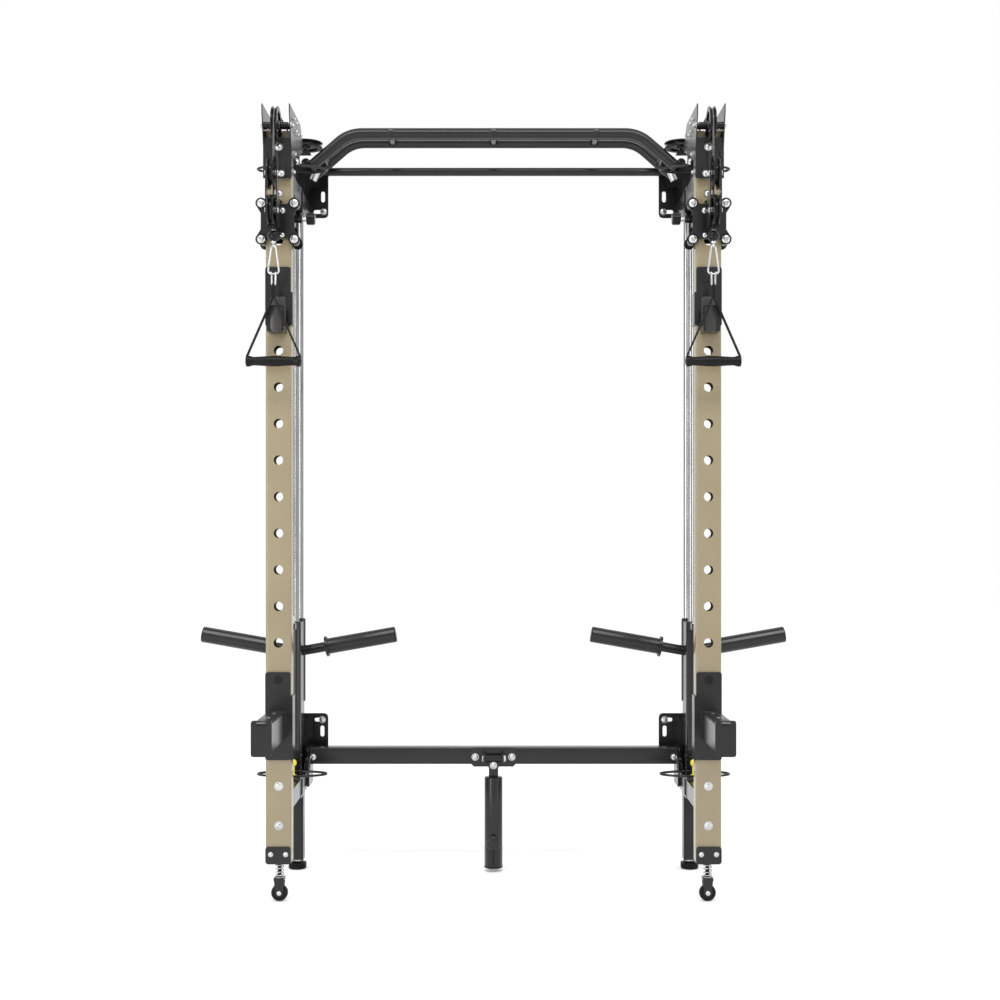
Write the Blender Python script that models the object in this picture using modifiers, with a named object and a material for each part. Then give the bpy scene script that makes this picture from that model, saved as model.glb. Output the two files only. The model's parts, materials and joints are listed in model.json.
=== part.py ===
"""Power cage: a wall-mounted folding rack with two plate-loaded cable towers.

Metres, +Z up, +X to the right of someone facing the wall, +Y to the wall. The origin is on the floor
at the middle of the rack's box. Each side has a fixed wall frame with two guide rods and a carriage,
and a gate (upright and two arms) that folds inwards about two fold pins.
"""

import math

import bmesh
import bpy
from mathutils import Matrix, Vector

# Overall arrangement
HALF_WIDTH = 0.588  # middle of the rack to the centre line of one side
RACK_DEPTH = 0.505  # front face of the uprights to the wall
WALL_Y = 0.384
UPRIGHT_TOP = 2.110
UPRIGHT_BOTTOM = 0.110
FOLD_FROM_WALL = 0.220
ROD_REAR_FROM_WALL = 0.044
ROD_SPACING = 0.104
GAP = 0.0003  # between faces that touch

# Uprights
UPRIGHT_WIDTH = 0.070
UPRIGHT_DEPTH = 0.050
TUBE_WALL = 0.003
TUBE_CORNER = 0.004
HOLE_RADIUS = 0.013
HOLE_PITCH = 0.100
FIRST_HOLE_Z = 0.510
HOLE_COUNT = 15
SIDE_HOLE_RADIUS = 0.0062
SIDE_HOLE_PITCH = 0.050

# Side arms and fold joints
ARM = 0.050
LOWER_ARM_Z = 0.265
TOP_ARM_BELOW_TOP = 0.118
FLANGE_WIDTH = 0.062
FLANGE_HEIGHT = 0.134
FLANGE_PLATE = 0.006
BARREL_RADIUS = 0.025
FOLD_PIN_RADIUS = 0.010
FOLD_BORE_RADIUS = 0.0045
FOLD_CLEARANCE = 0.0004
CLEVIS_PLATE = 0.006
CLEVIS_GAP = 0.0006
CLEVIS_REACH = 0.050
ARM_TO_PIVOT = 0.030
FOLD_PIN_HEAD = 0.0115

# Wall frame
WALL_PLATE = 0.005
WALL_PLATE_WIDTH = 0.160
WALL_PLATE_HEIGHT = 0.150
UPPER_PLATE_BELOW_TOP = 0.057
LOWER_PLATE_Z = 0.381
SLOT_WIDTH = 0.012
SLOT_LENGTH = 0.034
POST_DEPTH = 0.024
LEG = 0.040
LEG_BOTTOM = 0.028
LEG_FROM_WALL = 0.089
LEG_INWARD = -0.003
FOOT_RADIUS = 0.027
FOOT_HEIGHT = 0.020
FOOT_STEM_RADIUS = 0.006

# Cross members
BEAM = 0.050
BEAM_Z = 0.339
BEAM_FROM_WALL = 0.075
BEAM_END_INWARD = 0.034
SIDE_LUG_INWARD = 0.0285
SIDE_LUG = 0.005
TIE_RADIUS = 0.0125
TIE_ABOVE_TOP = 0.006
TIE_FROM_WALL = 0.020
TIE_END_INWARD = 0.061

# Pull-up bar
BAR_RADIUS = 0.016
BAR_FRONT_FROM_WALL = 0.155
BAR_REAR_FROM_WALL = 0.050
BAR_ABOVE_TOP = 0.087
BAR_FLAT_HALF = 0.395
BAR_END_INWARD = 0.042
BAR_END_BELOW_TOP = 0.014
GRIP_RADIUS = 0.011
GRIP_SPACING = 0.305
END_TAB = 0.006

# Guide rods, carriage and weight horns
ROD_RADIUS = 0.009
CARRIAGE_BOTTOM = 0.365
CARRIAGE_TOP = 0.747
SLEEVE_RADIUS = 0.0155
ROD_CLEARANCE = 0.0004
WEB_THICKNESS = 0.024
HORN_RADIUS = 0.024
HORN_Z = 0.666
HORN_RISE = math.radians(10)
HORN_START = 0.080
HORN_END = 0.296
HORN_STUB_RADIUS = 0.015
COLLAR_RADIUS = 0.031
COLLAR_WIDTH = 0.008
HORN_FROM_ROD_MIDDLE = 0.024
BUMPER_RADIUS = 0.016

# Pulleys and cable
PULLEY_RADIUS = 0.050
PULLEY_WIDTH = 0.018
GROOVE_RADIUS = 0.040
PULLEY_BORE = 0.0056
AXLE_RADIUS = 0.005
CABLE_RADIUS = 0.0027
TOP_PULLEY_AHEAD = 0.030  # pulley centre ahead of the upright's front face
TOP_PULLEY_ABOVE_TOP = 0.007
IDLER_INWARD = 0.028
IDLER_FROM_WALL = 0.135
IDLER_ABOVE_TOP = 0.056
BRACKET_PLATE = 0.003
BRACKET_GAP = 0.0006

# Trolley and what hangs on it
TROLLEY_BELOW_TOP = 0.250
TROLLEY_PLATE = 0.004
TROLLEY_STANDOFF = 0.010
ROLLER_OFFSET = 0.045
ROLLER_HEIGHT = 0.049
LUG_RADIUS = 0.015
PIN_ABOVE_TROLLEY = 0.014
PIN_RADIUS = 0.005
KNOB_RADIUS = 0.0165
KNOB_LENGTH = 0.024
SWIVEL_OUTWARD = 0.002
SWIVEL_PULLEY_RADIUS = 0.040
SWIVEL_PULLEY_WIDTH = 0.018
SWIVEL_GROOVE = 0.031
SWIVEL_SPACER = 0.004
SWIVEL_CHEEK = 0.003
SWIVEL_HEIGHT = 0.075
SWIVEL_CREST = 0.195
SWIVEL_BELOW = 0.027
SWIVEL_PULLEY_ABOVE = 0.010
GUIDE_PULLEY_ABOVE = 0.108
TAB = 0.006
STEM_RADIUS = 0.0062
BALL_RADIUS = 0.016
HOOK_DROP = 0.1315
STRAP_DROP = 0.204
GRIP_HALF = 0.0735
GRIP_ROD_RADIUS = 0.015

# J-hook and spotter arm
HOOK_HOLE = 12
HOOK_BELOW = 0.135
HOOK_ABOVE = 0.027
HOOK_PLATE = 0.006
SPOTTER_HOLE = 1
SPOTTER_BELOW = 0.219
SPOTTER_ABOVE = 0.021
SPOTTER_REACH = 0.263
SPOTTER_WIDTH = 0.050
SPOTTER_HEIGHT = 0.071
SPOTTER_TOP_BELOW = 0.089
SPOTTER_CHEEK_BELOW = 0.044
SPOTTER_OUTWARD = 0.005
END_PLATE_WIDTH = 0.054
END_PLATE_HEIGHT = 0.093
END_SLOT_LENGTH = 0.027
END_SLOT_WIDTH = 0.009
END_SLOT_BELOW = 0.008
PEG_RADIUS = 0.0123

# Spring caster
CASTER_PLATE_HEIGHT = 0.048
CASTER_PLATE = 0.004
WHEEL_RADIUS = 0.023
WHEEL_WIDTH = 0.018
CASTER_STEM_RADIUS = 0.006
FORK_WIDTH = 0.029

# Landmine
MINE_PLATE_WIDTH = 0.146
MINE_PLATE_HEIGHT = 0.058
MINE_PLATE = 0.006
MINE_EAR = 0.034
MINE_PIN_RADIUS = 0.007
YOKE_WIDTH = 0.033
YOKE_TILT_BELOW_BEAM = 0.023
YOKE_TILT_HOLE = 0.0064
SLEEVE_OUTER = 0.027
SLEEVE_BORE = 0.0245
SLEEVE_BELOW_BEAM = 0.058
SLEEVE_BOTTOM = 0.010
SLEEVE_EAR = 0.014
SLEEVE_KNOB_RADIUS = 0.020
SLEEVE_KNOB_Z = 0.089

FRONT_Y = WALL_Y - RACK_DEPTH
BACK_Y = FRONT_Y + UPRIGHT_DEPTH
FOLD_Y = WALL_Y - FOLD_FROM_WALL
ROD_REAR_Y = WALL_Y - ROD_REAR_FROM_WALL
ROD_FRONT_Y = ROD_REAR_Y - ROD_SPACING
ROD_MIDDLE_Y = (ROD_FRONT_Y + ROD_REAR_Y) / 2
TOP_ARM_Z = UPRIGHT_TOP - TOP_ARM_BELOW_TOP
PULLEY_Z = UPRIGHT_TOP + TOP_PULLEY_ABOVE_TOP
TOP_PULLEY_Y = FRONT_Y - TOP_PULLEY_AHEAD
CABLE_WRAP = GROOVE_RADIUS + CABLE_RADIUS + 2 * GAP
DROP_PULLEY_Y = FOLD_Y - CABLE_WRAP
SWIVEL_Y = TOP_PULLEY_Y - CABLE_WRAP
TROLLEY_Z = UPRIGHT_TOP - TROLLEY_BELOW_TOP
BALL_Z = TROLLEY_Z - SWIVEL_BELOW - 1.5 * TAB - BALL_RADIUS - 2 * GAP
HANDLE_APEX_Z = BALL_Z - HOOK_DROP
GRIP_Z = HANDLE_APEX_Z - STRAP_DROP
YOKE_TILT_Z = BEAM_Z - YOKE_TILT_BELOW_BEAM
SLEEVE_TOP = BEAM_Z - SLEEVE_BELOW_BEAM
HOOK_Z = FIRST_HOLE_Z + HOOK_HOLE * HOLE_PITCH
SPOTTER_Z = FIRST_HOLE_Z + SPOTTER_HOLE * HOLE_PITCH

TURN = {
    "X": Matrix.Rotation(math.pi / 2, 4, "Y"),
    "Y": Matrix.Rotation(-math.pi / 2, 4, "X"),
    "Z": Matrix.Identity(4),
}


def clear_scene():
    for obj in list(bpy.data.objects):
        bpy.data.objects.remove(obj)


def new_collection(name):
    made = bpy.data.collections.new(name)
    bpy.context.scene.collection.children.link(made)
    return made


clear_scene()
PARTS = new_collection("power_cage")
CUTTERS = new_collection("cutters")
CUTTERS.hide_render = True


def new_material(name, colour, roughness, metallic):
    made = bpy.data.materials.new(name)
    made.use_nodes = True
    shader = made.node_tree.nodes["Principled BSDF"]
    shader.inputs["Base Color"].default_value = (*colour, 1)
    shader.inputs["Roughness"].default_value = roughness
    shader.inputs["Metallic"].default_value = metallic
    return made


BEIGE = new_material("beige_paint", (0.44, 0.37, 0.25), 0.45, 0.0)
BLACK = new_material("black_paint", (0.035, 0.035, 0.037), 0.42, 0.0)
CHROME = new_material("chrome", (0.72, 0.72, 0.73), 0.12, 1.0)
STEEL = new_material("zinc_steel", (0.70, 0.70, 0.70), 0.30, 1.0)
RUBBER = new_material("black_rubber", (0.02, 0.02, 0.02), 0.80, 0.0)
PLASTIC = new_material("black_plastic", (0.018, 0.018, 0.019), 0.40, 0.0)
YELLOW = new_material("yellow_plastic", (0.80, 0.62, 0.05), 0.40, 0.0)
CABLE_COAT = new_material("cable_coat", (0.02, 0.02, 0.022), 0.45, 0.0)


def world_matrix(obj):
    if obj.parent is None:
        return obj.matrix_basis.copy()
    return world_matrix(obj.parent) @ obj.matrix_parent_inverse @ obj.matrix_basis


def attach(child, parent):
    child.parent = parent
    child.matrix_parent_inverse = world_matrix(parent).inverted()


def place(name, mesh, centre, turn=None):
    """A mesh object at a point, turned by a rotation matrix."""
    obj = bpy.data.objects.new(name, mesh)
    obj.matrix_basis = Matrix.Translation(centre) @ (turn or Matrix.Identity(4))
    PARTS.objects.link(obj)
    return obj


def finish_bmesh(name, bm):
    mesh = bpy.data.meshes.new(name)
    bm.to_mesh(mesh)
    bm.free()
    return mesh


def block(size, centre, name="block", turn=None):
    bm = bmesh.new()
    bmesh.ops.create_cube(bm, size=1.0)
    bmesh.ops.scale(bm, vec=size, verts=bm.verts)
    return place(name, finish_bmesh(name, bm), centre, turn)


def span(low, high, name="block"):
    """A block between two opposite corners."""
    low, high = Vector(low), Vector(high)
    size = Vector(abs(high[i] - low[i]) for i in range(3))
    return block(size, (low + high) / 2, name)


def rod(radius, length, centre, axis="Z", sides=16, name="rod", top_radius=None):
    bm = bmesh.new()
    bmesh.ops.create_cone(
        bm, cap_ends=True, segments=sides, radius1=radius,
        radius2=radius if top_radius is None else top_radius, depth=length,
    )
    turn = TURN[axis] if isinstance(axis, str) else axis
    return place(name, finish_bmesh(name, bm), centre, turn)


def ball(radius, centre, name="ball"):
    bm = bmesh.new()
    bmesh.ops.create_uvsphere(bm, u_segments=12, v_segments=8, radius=radius)
    return place(name, finish_bmesh(name, bm), centre)


def turned(profile, centre, axis="Z", steps=16, name="turned"):
    """A closed profile of (radius, height) points, going down its outer side, turned about an axis."""
    bm = bmesh.new()
    points = [bm.verts.new((radius, 0, height)) for radius, height in profile]
    closed = profile[0][0] > 0
    pairs = zip(points, points[1:] + points[:1]) if closed else zip(points, points[1:])
    for first, second in pairs:
        bm.edges.new((first, second))
    obj = place(name, finish_bmesh(name, bm), centre, TURN[axis])
    screw = obj.modifiers.new("turn", "SCREW")
    screw.steps = steps
    screw.render_steps = steps
    screw.use_merge_vertices = True
    screw.merge_threshold = 0.0001
    return obj


def mesh_of_curve(curve, name, matrix):
    """The curve's own mesh, with its caps welded, as an object."""
    guide = bpy.data.objects.new(name, curve)
    PARTS.objects.link(guide)
    graph = bpy.context.evaluated_depsgraph_get()
    mesh = bpy.data.meshes.new_from_object(guide.evaluated_get(graph))
    bm = bmesh.new()
    bm.from_mesh(mesh)
    bmesh.ops.remove_doubles(bm, verts=bm.verts, dist=0.00001)
    bm.to_mesh(mesh)
    bm.free()
    mesh.materials.clear()
    bpy.data.objects.remove(guide)
    bpy.data.curves.remove(curve)
    obj = bpy.data.objects.new(name, mesh)
    obj.matrix_basis = matrix
    PARTS.objects.link(obj)
    return obj


FACING = {
    "X": Matrix(((0, 0, 1, 0), (1, 0, 0, 0), (0, 1, 0, 0), (0, 0, 0, 1))),
    "Y": Matrix(((1, 0, 0, 0), (0, 0, -1, 0), (0, 1, 0, 0), (0, 0, 0, 1))),
    "Z": Matrix.Identity(4),
}


def plate(outline, thickness, centre, normal="Y", name="plate"):
    """A flat plate. The outline is in (X, Z) for normal Y, (Y, Z) for normal X and (X, Y) for normal Z."""
    curve = bpy.data.curves.new(name, "CURVE")
    curve.dimensions = "2D"
    curve.fill_mode = "BOTH"
    curve.extrude = thickness / 2
    spline = curve.splines.new("POLY")
    spline.points.add(len(outline) - 1)
    for point, (u, v) in zip(spline.points, outline):
        point.co = (u, v, 0, 1)
    spline.use_cyclic_u = True
    return mesh_of_curve(curve, name, Matrix.Translation(centre) @ FACING[normal])


def pipe(points, radius, name="pipe", resolution=3):
    curve = bpy.data.curves.new(name, "CURVE")
    curve.dimensions = "3D"
    curve.bevel_depth = radius
    curve.bevel_resolution = resolution
    curve.use_fill_caps = True
    spline = curve.splines.new("POLY")
    spline.points.add(len(points) - 1)
    for point, co in zip(spline.points, points):
        point.co = (*co, 1)
    return mesh_of_curve(curve, name, Matrix.Identity(4))


def rounded_outline(width, height, radius, steps=3):
    """A rectangle with round corners, about the origin."""
    points = []
    for turn, (u, v) in enumerate(((1, 1), (-1, 1), (-1, -1), (1, -1))):
        for step in range(steps + 1):
            angle = math.pi / 2 * (turn + step / steps)
            points.append((
                u * (width / 2 - radius) + radius * math.cos(angle),
                v * (height / 2 - radius) + radius * math.sin(angle),
            ))
    return points


def boolean(target, tool, operation):
    modifier = target.modifiers.new(operation.lower(), "BOOLEAN")
    modifier.operation = operation
    modifier.object = tool
    modifier.solver = "EXACT"
    PARTS.objects.unlink(tool)
    CUTTERS.objects.link(tool)
    tool.hide_render = True
    tool.display_type = "WIRE"
    attach(tool, target)


def join(target, *tools):
    for tool in tools:
        boolean(target, tool, "UNION")
    return target


def cut(target, *tools):
    for tool in tools:
        boolean(target, tool, "DIFFERENCE")
    return target


def node(obj, name, material, parent=None, smooth=True):
    """Names the finished piece, gives it its material and hangs it on its joint's empty."""
    obj.name = name
    obj.data.name = name
    obj.data.materials.append(material)
    if smooth:
        obj.data.shade_smooth()
        obj.data.set_sharp_from_angle(angle=math.radians(35))
    if parent is not None:
        attach(obj, parent)
    return obj


def joint_empty(name, point, parent=None):
    empty = bpy.data.objects.new(name, None)
    empty.empty_display_size = 0.03
    empty.location = point
    PARTS.objects.link(empty)
    if parent is not None:
        attach(empty, parent)
    return empty


def tube(width, depth, length, centre, along="Z", wall=TUBE_WALL):
    """A rectangular tube, open at both ends. Width is along X, or along Z where the tube runs along X."""
    outline = rounded_outline(width, depth, TUBE_CORNER, steps=2)
    inner = rounded_outline(width - 2 * wall, depth - 2 * wall, TUBE_CORNER / 2, steps=1)
    body = plate(outline, length, centre, along)
    return cut(body, plate(inner, length + 0.01, centre, along))


def pulley_profile(radius, width, groove, bore, half_hub):
    """Down the outer side and back up the bore: two rims, a V groove and a hub."""
    edge = width / 2
    return [
        (bore, half_hub), (bore * 2.4, half_hub), (groove * 0.9, edge), (radius, edge), (groove, edge * 0.4),
        (groove, -edge * 0.4), (radius, -edge), (groove * 0.9, -edge), (bore * 2.4, -half_hub), (bore, -half_hub),
    ]


class Side:
    """One side of the rack: sign -1 is the left side and +1 the right side."""

    def __init__(self, sign, label):
        self.sign = sign
        self.label = label
        self.axis_x = sign * HALF_WIDTH

    def x(self, inward):
        """The X of a point this far towards the middle of the rack from the side's centre line."""
        return self.sign * (HALF_WIDTH - inward)

    def at(self, inward, y, z):
        return Vector((self.x(inward), y, z))

    def name(self, piece):
        return f"{self.label}_{piece}"


def upright(side, gate):
    height = UPRIGHT_TOP - UPRIGHT_BOTTOM
    middle = (UPRIGHT_TOP + UPRIGHT_BOTTOM) / 2
    body = tube(UPRIGHT_WIDTH, UPRIGHT_DEPTH, height, side.at(0, FRONT_Y + UPRIGHT_DEPTH / 2, middle))
    holes = rod(HOLE_RADIUS, UPRIGHT_DEPTH * 2, side.at(0, FRONT_Y + UPRIGHT_DEPTH / 2, FIRST_HOLE_Z), "Y", 10)
    for_each = holes.modifiers.new("repeat", "ARRAY")
    for_each.count = HOLE_COUNT
    for_each.use_relative_offset = False
    for_each.use_constant_offset = True
    for_each.constant_offset_displace = (0, -HOLE_PITCH, 0)
    cut(body, holes)
    notch_low = PULLEY_Z - PULLEY_RADIUS - 0.003
    notch_half = PULLEY_WIDTH / 2 + 0.004
    cut(body, span(
        side.at(-SWIVEL_OUTWARD - notch_half, FRONT_Y - 0.01, notch_low),
        side.at(-SWIVEL_OUTWARD + notch_half, FRONT_Y + UPRIGHT_DEPTH / 2, UPRIGHT_TOP + 0.01),
    ))
    for step in (-1, 0):
        level = TROLLEY_Z + PIN_ABOVE_TROLLEY + step * SIDE_HOLE_PITCH
        start = side.at(UPRIGHT_WIDTH / 2, FRONT_Y + UPRIGHT_DEPTH / 2, level)
        cut(body, rod(SIDE_HOLE_RADIUS, UPRIGHT_WIDTH / 2, start, "X", 12))
    return node(body, side.name("upright"), BEIGE, gate)


def gate_arm(side, gate, level, name, with_yoke):
    """Flange behind the upright, square tube, and the barrel that turns on the fold pin."""
    flange_y = BACK_Y + GAP + FLANGE_PLATE / 2
    body = plate(
        rounded_outline(FLANGE_WIDTH, FLANGE_HEIGHT, 0.004, 1), FLANGE_PLATE, side.at(0, flange_y, level), "Y"
    )
    start = flange_y
    end = FOLD_Y - ARM_TO_PIVOT
    arm = block((ARM, end - start, ARM), side.at(0, (start + end) / 2, level))
    neck = block((ARM * 0.7, ARM_TO_PIVOT, ARM - 0.004), side.at(0, end + ARM_TO_PIVOT / 2 - 0.002, level))
    barrel = rod(BARREL_RADIUS, ARM - 0.002, side.at(0, FOLD_Y, level), "Z", 16)
    join(body, arm, neck, barrel)
    if with_yoke:
        cheek_top = PULLEY_Z + 0.014
        arm_top = level + ARM / 2
        for way in (-1, 1):
            cheek = span(
                side.at(way * 0.012, DROP_PULLEY_Y - 0.020, arm_top - 0.004),
                side.at(way * 0.015, min(end, DROP_PULLEY_Y + 0.012), cheek_top),
            )
            join(body, cheek)
        join(body, rod(AXLE_RADIUS, 0.030, side.at(0, DROP_PULLEY_Y, PULLEY_Z), "X", 10))
    cut(body, rod(FOLD_PIN_RADIUS + FOLD_CLEARANCE, ARM * 2, side.at(0, FOLD_Y, level), "Z", 16))
    return node(body, side.name(name), BLACK, gate)


def clevis(side, level, pin_hole):
    """Two plates above and below the gate's barrel, in front of the fixed arm."""
    pieces = []
    for way in (-1, 1):
        z = level + way * (ARM / 2 - 0.001 + CLEVIS_GAP + CLEVIS_PLATE / 2)
        outline = [(-BARREL_RADIUS, CLEVIS_REACH), (-BARREL_RADIUS, 0.0)]
        for step in range(1, 8):
            angle = math.pi * (1 + step / 8)
            outline.append((BARREL_RADIUS * math.cos(angle), BARREL_RADIUS * math.sin(angle)))
        outline += [(BARREL_RADIUS, 0.0), (BARREL_RADIUS, CLEVIS_REACH)]
        ear = plate(outline, CLEVIS_PLATE, side.at(0, FOLD_Y, z), "Z")
        if pin_hole:
            cut(ear, rod(pin_hole, 0.05, side.at(0, FOLD_Y, z), "Z", 16))
        pieces.append(ear)
    return pieces


def fixed_arm(side, level):
    start = FOLD_Y + ARM_TO_PIVOT + 0.004
    end = WALL_Y - WALL_PLATE / 2
    return block((ARM, end - start, ARM), side.at(0, (start + end) / 2, level))


def wall_plate(side, level, slots):
    y = WALL_Y - WALL_PLATE / 2
    body = plate(rounded_outline(WALL_PLATE_WIDTH, WALL_PLATE_HEIGHT, 0.012, 2), WALL_PLATE, side.at(0, y, level))
    for inward, rise, upright_slot in slots:
        size = (SLOT_WIDTH, SLOT_LENGTH) if upright_slot else (SLOT_LENGTH, SLOT_WIDTH)
        hole = plate(rounded_outline(*size, SLOT_WIDTH / 2 - 0.0002, 2), WALL_PLATE * 3, side.at(inward, y, level + rise))
        cut(body, hole)
    return body


def wall_bracket_top(side):
    """Upper wall plate with the fixed top arm, its clevis, the hollow fold pin and the idler's post."""
    level = UPRIGHT_TOP - UPPER_PLATE_BELOW_TOP
    slots = [(0.064, -0.010, True), (0.052, -0.056, False), (-0.064, -0.010, True), (-0.052, -0.056, False)]
    body = wall_plate(side, level, slots)
    join(body, fixed_arm(side, TOP_ARM_Z), *clevis(side, TOP_ARM_Z, None))
    pin_length = ARM + 2 * CLEVIS_PLATE + 0.006
    join(body, rod(FOLD_PIN_RADIUS, pin_length, side.at(0, FOLD_Y, TOP_ARM_Z), "Z", 16))
    cut(body, rod(FOLD_BORE_RADIUS, pin_length * 2, side.at(0, FOLD_Y, TOP_ARM_Z), "Z", 10))
    idler = side.at(IDLER_INWARD, WALL_Y - IDLER_FROM_WALL, UPRIGHT_TOP + IDLER_ABOVE_TOP)
    arm_top = TOP_ARM_Z + ARM / 2
    shelf_z = idler.z - 0.016
    post = span(
        side.at(-0.006, idler.y + 0.012, arm_top - 0.005), side.at(0.006, idler.y + 0.034, shelf_z)
    )
    shelf = span(
        side.at(-0.006, idler.y - 0.012, shelf_z - 0.005), side.at(IDLER_INWARD + 0.012, idler.y + 0.034, shelf_z)
    )
    axle = rod(AXLE_RADIUS, 0.034, idler - Vector((0, 0, 0.004)), "Z", 10)
    head = rod(0.009, 0.006, idler + Vector((0, 0, 0.0155)), "Z", 6)
    join(body, post, shelf, axle, head)
    rod_hole = ROD_RADIUS + GAP
    for y in (ROD_FRONT_Y, ROD_REAR_Y):
        cut(body, rod(rod_hole, 0.012, side.at(0, y, TOP_ARM_Z - ARM / 2), "Z", 16))
    tab_low = BAR_END_BELOW_TOP + 0.030
    for from_wall in (BAR_FRONT_FROM_WALL, BAR_REAR_FROM_WALL):
        y = WALL_Y - from_wall + BAR_RADIUS + GAP + END_TAB / 2
        riser = span(
            side.at(-0.010, y - END_TAB / 2, arm_top - 0.005),
            side.at(0.024, y + END_TAB / 2, UPRIGHT_TOP - tab_low + 0.012),
        )
        ear = span(
            side.at(-0.006, y - END_TAB / 2, UPRIGHT_TOP - tab_low),
            side.at(BAR_END_INWARD + 0.016, y + END_TAB / 2, UPRIGHT_TOP + 0.016 - BAR_END_BELOW_TOP),
        )
        join(body, riser, ear)
    return node(body, side.name("wall_bracket_top"), BLACK)


def wall_bracket_bottom(side):
    """Lower wall plate with its post, the fixed lower arm, clevis, rear leg and the beam's lug."""
    slots = [(0.055, 0.055, False), (0.062, 0.020, True), (-0.055, 0.055, False), (-0.062, 0.020, True)]
    body = wall_plate(side, LOWER_PLATE_Z, slots)
    join(body, fixed_arm(side, LOWER_ARM_Z), *clevis(side, LOWER_ARM_Z, FOLD_PIN_RADIUS + FOLD_CLEARANCE))
    post_front = WALL_Y - WALL_PLATE - POST_DEPTH
    post_top = LOWER_PLATE_Z + WALL_PLATE_HEIGHT / 2 - 0.010
    join(body, span(
        side.at(-ARM / 2, post_front, LOWER_ARM_Z - ARM / 2 + 0.002),
        side.at(ARM / 2, WALL_Y - WALL_PLATE / 2, post_top),
    ))
    leg_y = WALL_Y - LEG_FROM_WALL
    join(body, span(
        side.at(LEG_INWARD - LEG / 2, leg_y - LEG / 2, LEG_BOTTOM),
        side.at(LEG_INWARD + LEG / 2, leg_y + LEG / 2, LOWER_ARM_Z - ARM / 2 + 0.002),
    ))
    lug_out = SIDE_LUG_INWARD + SIDE_LUG
    join(body, span(
        side.at(SIDE_LUG_INWARD, WALL_Y - BEAM_FROM_WALL - BEAM / 2, LOWER_ARM_Z - ARM / 2 + 0.006),
        side.at(lug_out, WALL_Y - WALL_PLATE / 2, BEAM_Z + BEAM / 2 + 0.004),
    ), span(
        side.at(ARM / 2 - 0.004, ROD_MIDDLE_Y, LOWER_ARM_Z - ARM / 2 + 0.008),
        side.at(lug_out - 0.001, WALL_Y - WALL_PLATE / 2, LOWER_ARM_Z + ARM / 2 - 0.004),
    ))
    for y in (ROD_FRONT_Y, ROD_REAR_Y):
        cut(body, rod(ROD_RADIUS + GAP, 0.012, side.at(0, y, LOWER_ARM_Z + ARM / 2), "Z", 16))
    cut(body, rod(FOOT_STEM_RADIUS + GAP, 0.040, side.at(LEG_INWARD, leg_y, LEG_BOTTOM), "Z", 16))
    return node(body, side.name("wall_bracket_bottom"), BLACK)


def levelling_foot(side):
    ridge = FOOT_RADIUS
    profile = [
        (FOOT_STEM_RADIUS, FOOT_HEIGHT + 0.022), (FOOT_STEM_RADIUS, FOOT_HEIGHT),
        (ridge - 0.004, FOOT_HEIGHT), (ridge, FOOT_HEIGHT - 0.004), (ridge, 0.004), (ridge - 0.003, 0.0),
    ]
    outline = [(0, FOOT_HEIGHT + 0.022), *profile, (0, 0)]
    body = turned(outline, side.at(LEG_INWARD, WALL_Y - LEG_FROM_WALL, 0), steps=16)
    return node(body, side.name("levelling_foot"), RUBBER)


def guide_rod(side, y, name):
    bottom = LOWER_ARM_Z + ARM / 2 - 0.006 + GAP
    top = TOP_ARM_Z - ARM / 2 + 0.006 - GAP
    body = rod(ROD_RADIUS, top - bottom, side.at(0, y, (top + bottom) / 2), "Z", 24)
    return node(body, side.name(name), CHROME)


def fold_pin(side):
    """Ball-topped pin that the lower barrel turns on."""
    plate_top = LOWER_ARM_Z + ARM / 2 - 0.001 + CLEVIS_GAP + CLEVIS_PLATE
    bottom = LOWER_ARM_Z - ARM / 2 - CLEVIS_PLATE - 0.006
    flange = plate_top + GAP
    profile = [
        (0, flange + 0.052), (0.006, flange + 0.0505), (FOLD_PIN_HEAD, flange + 0.043),
        (FOLD_PIN_HEAD, flange + 0.036), (0.006, flange + 0.028), (0.006, flange + 0.006),
        (FOLD_PIN_HEAD + 0.001, flange + 0.006), (FOLD_PIN_HEAD + 0.001, flange),
        (FOLD_PIN_RADIUS, flange), (FOLD_PIN_RADIUS, bottom + 0.003), (FOLD_PIN_RADIUS - 0.003, bottom),
        (0, bottom),
    ]
    return node(turned(profile, side.at(0, FOLD_Y, 0), steps=14), side.name("fold_pin"), YELLOW)


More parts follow.
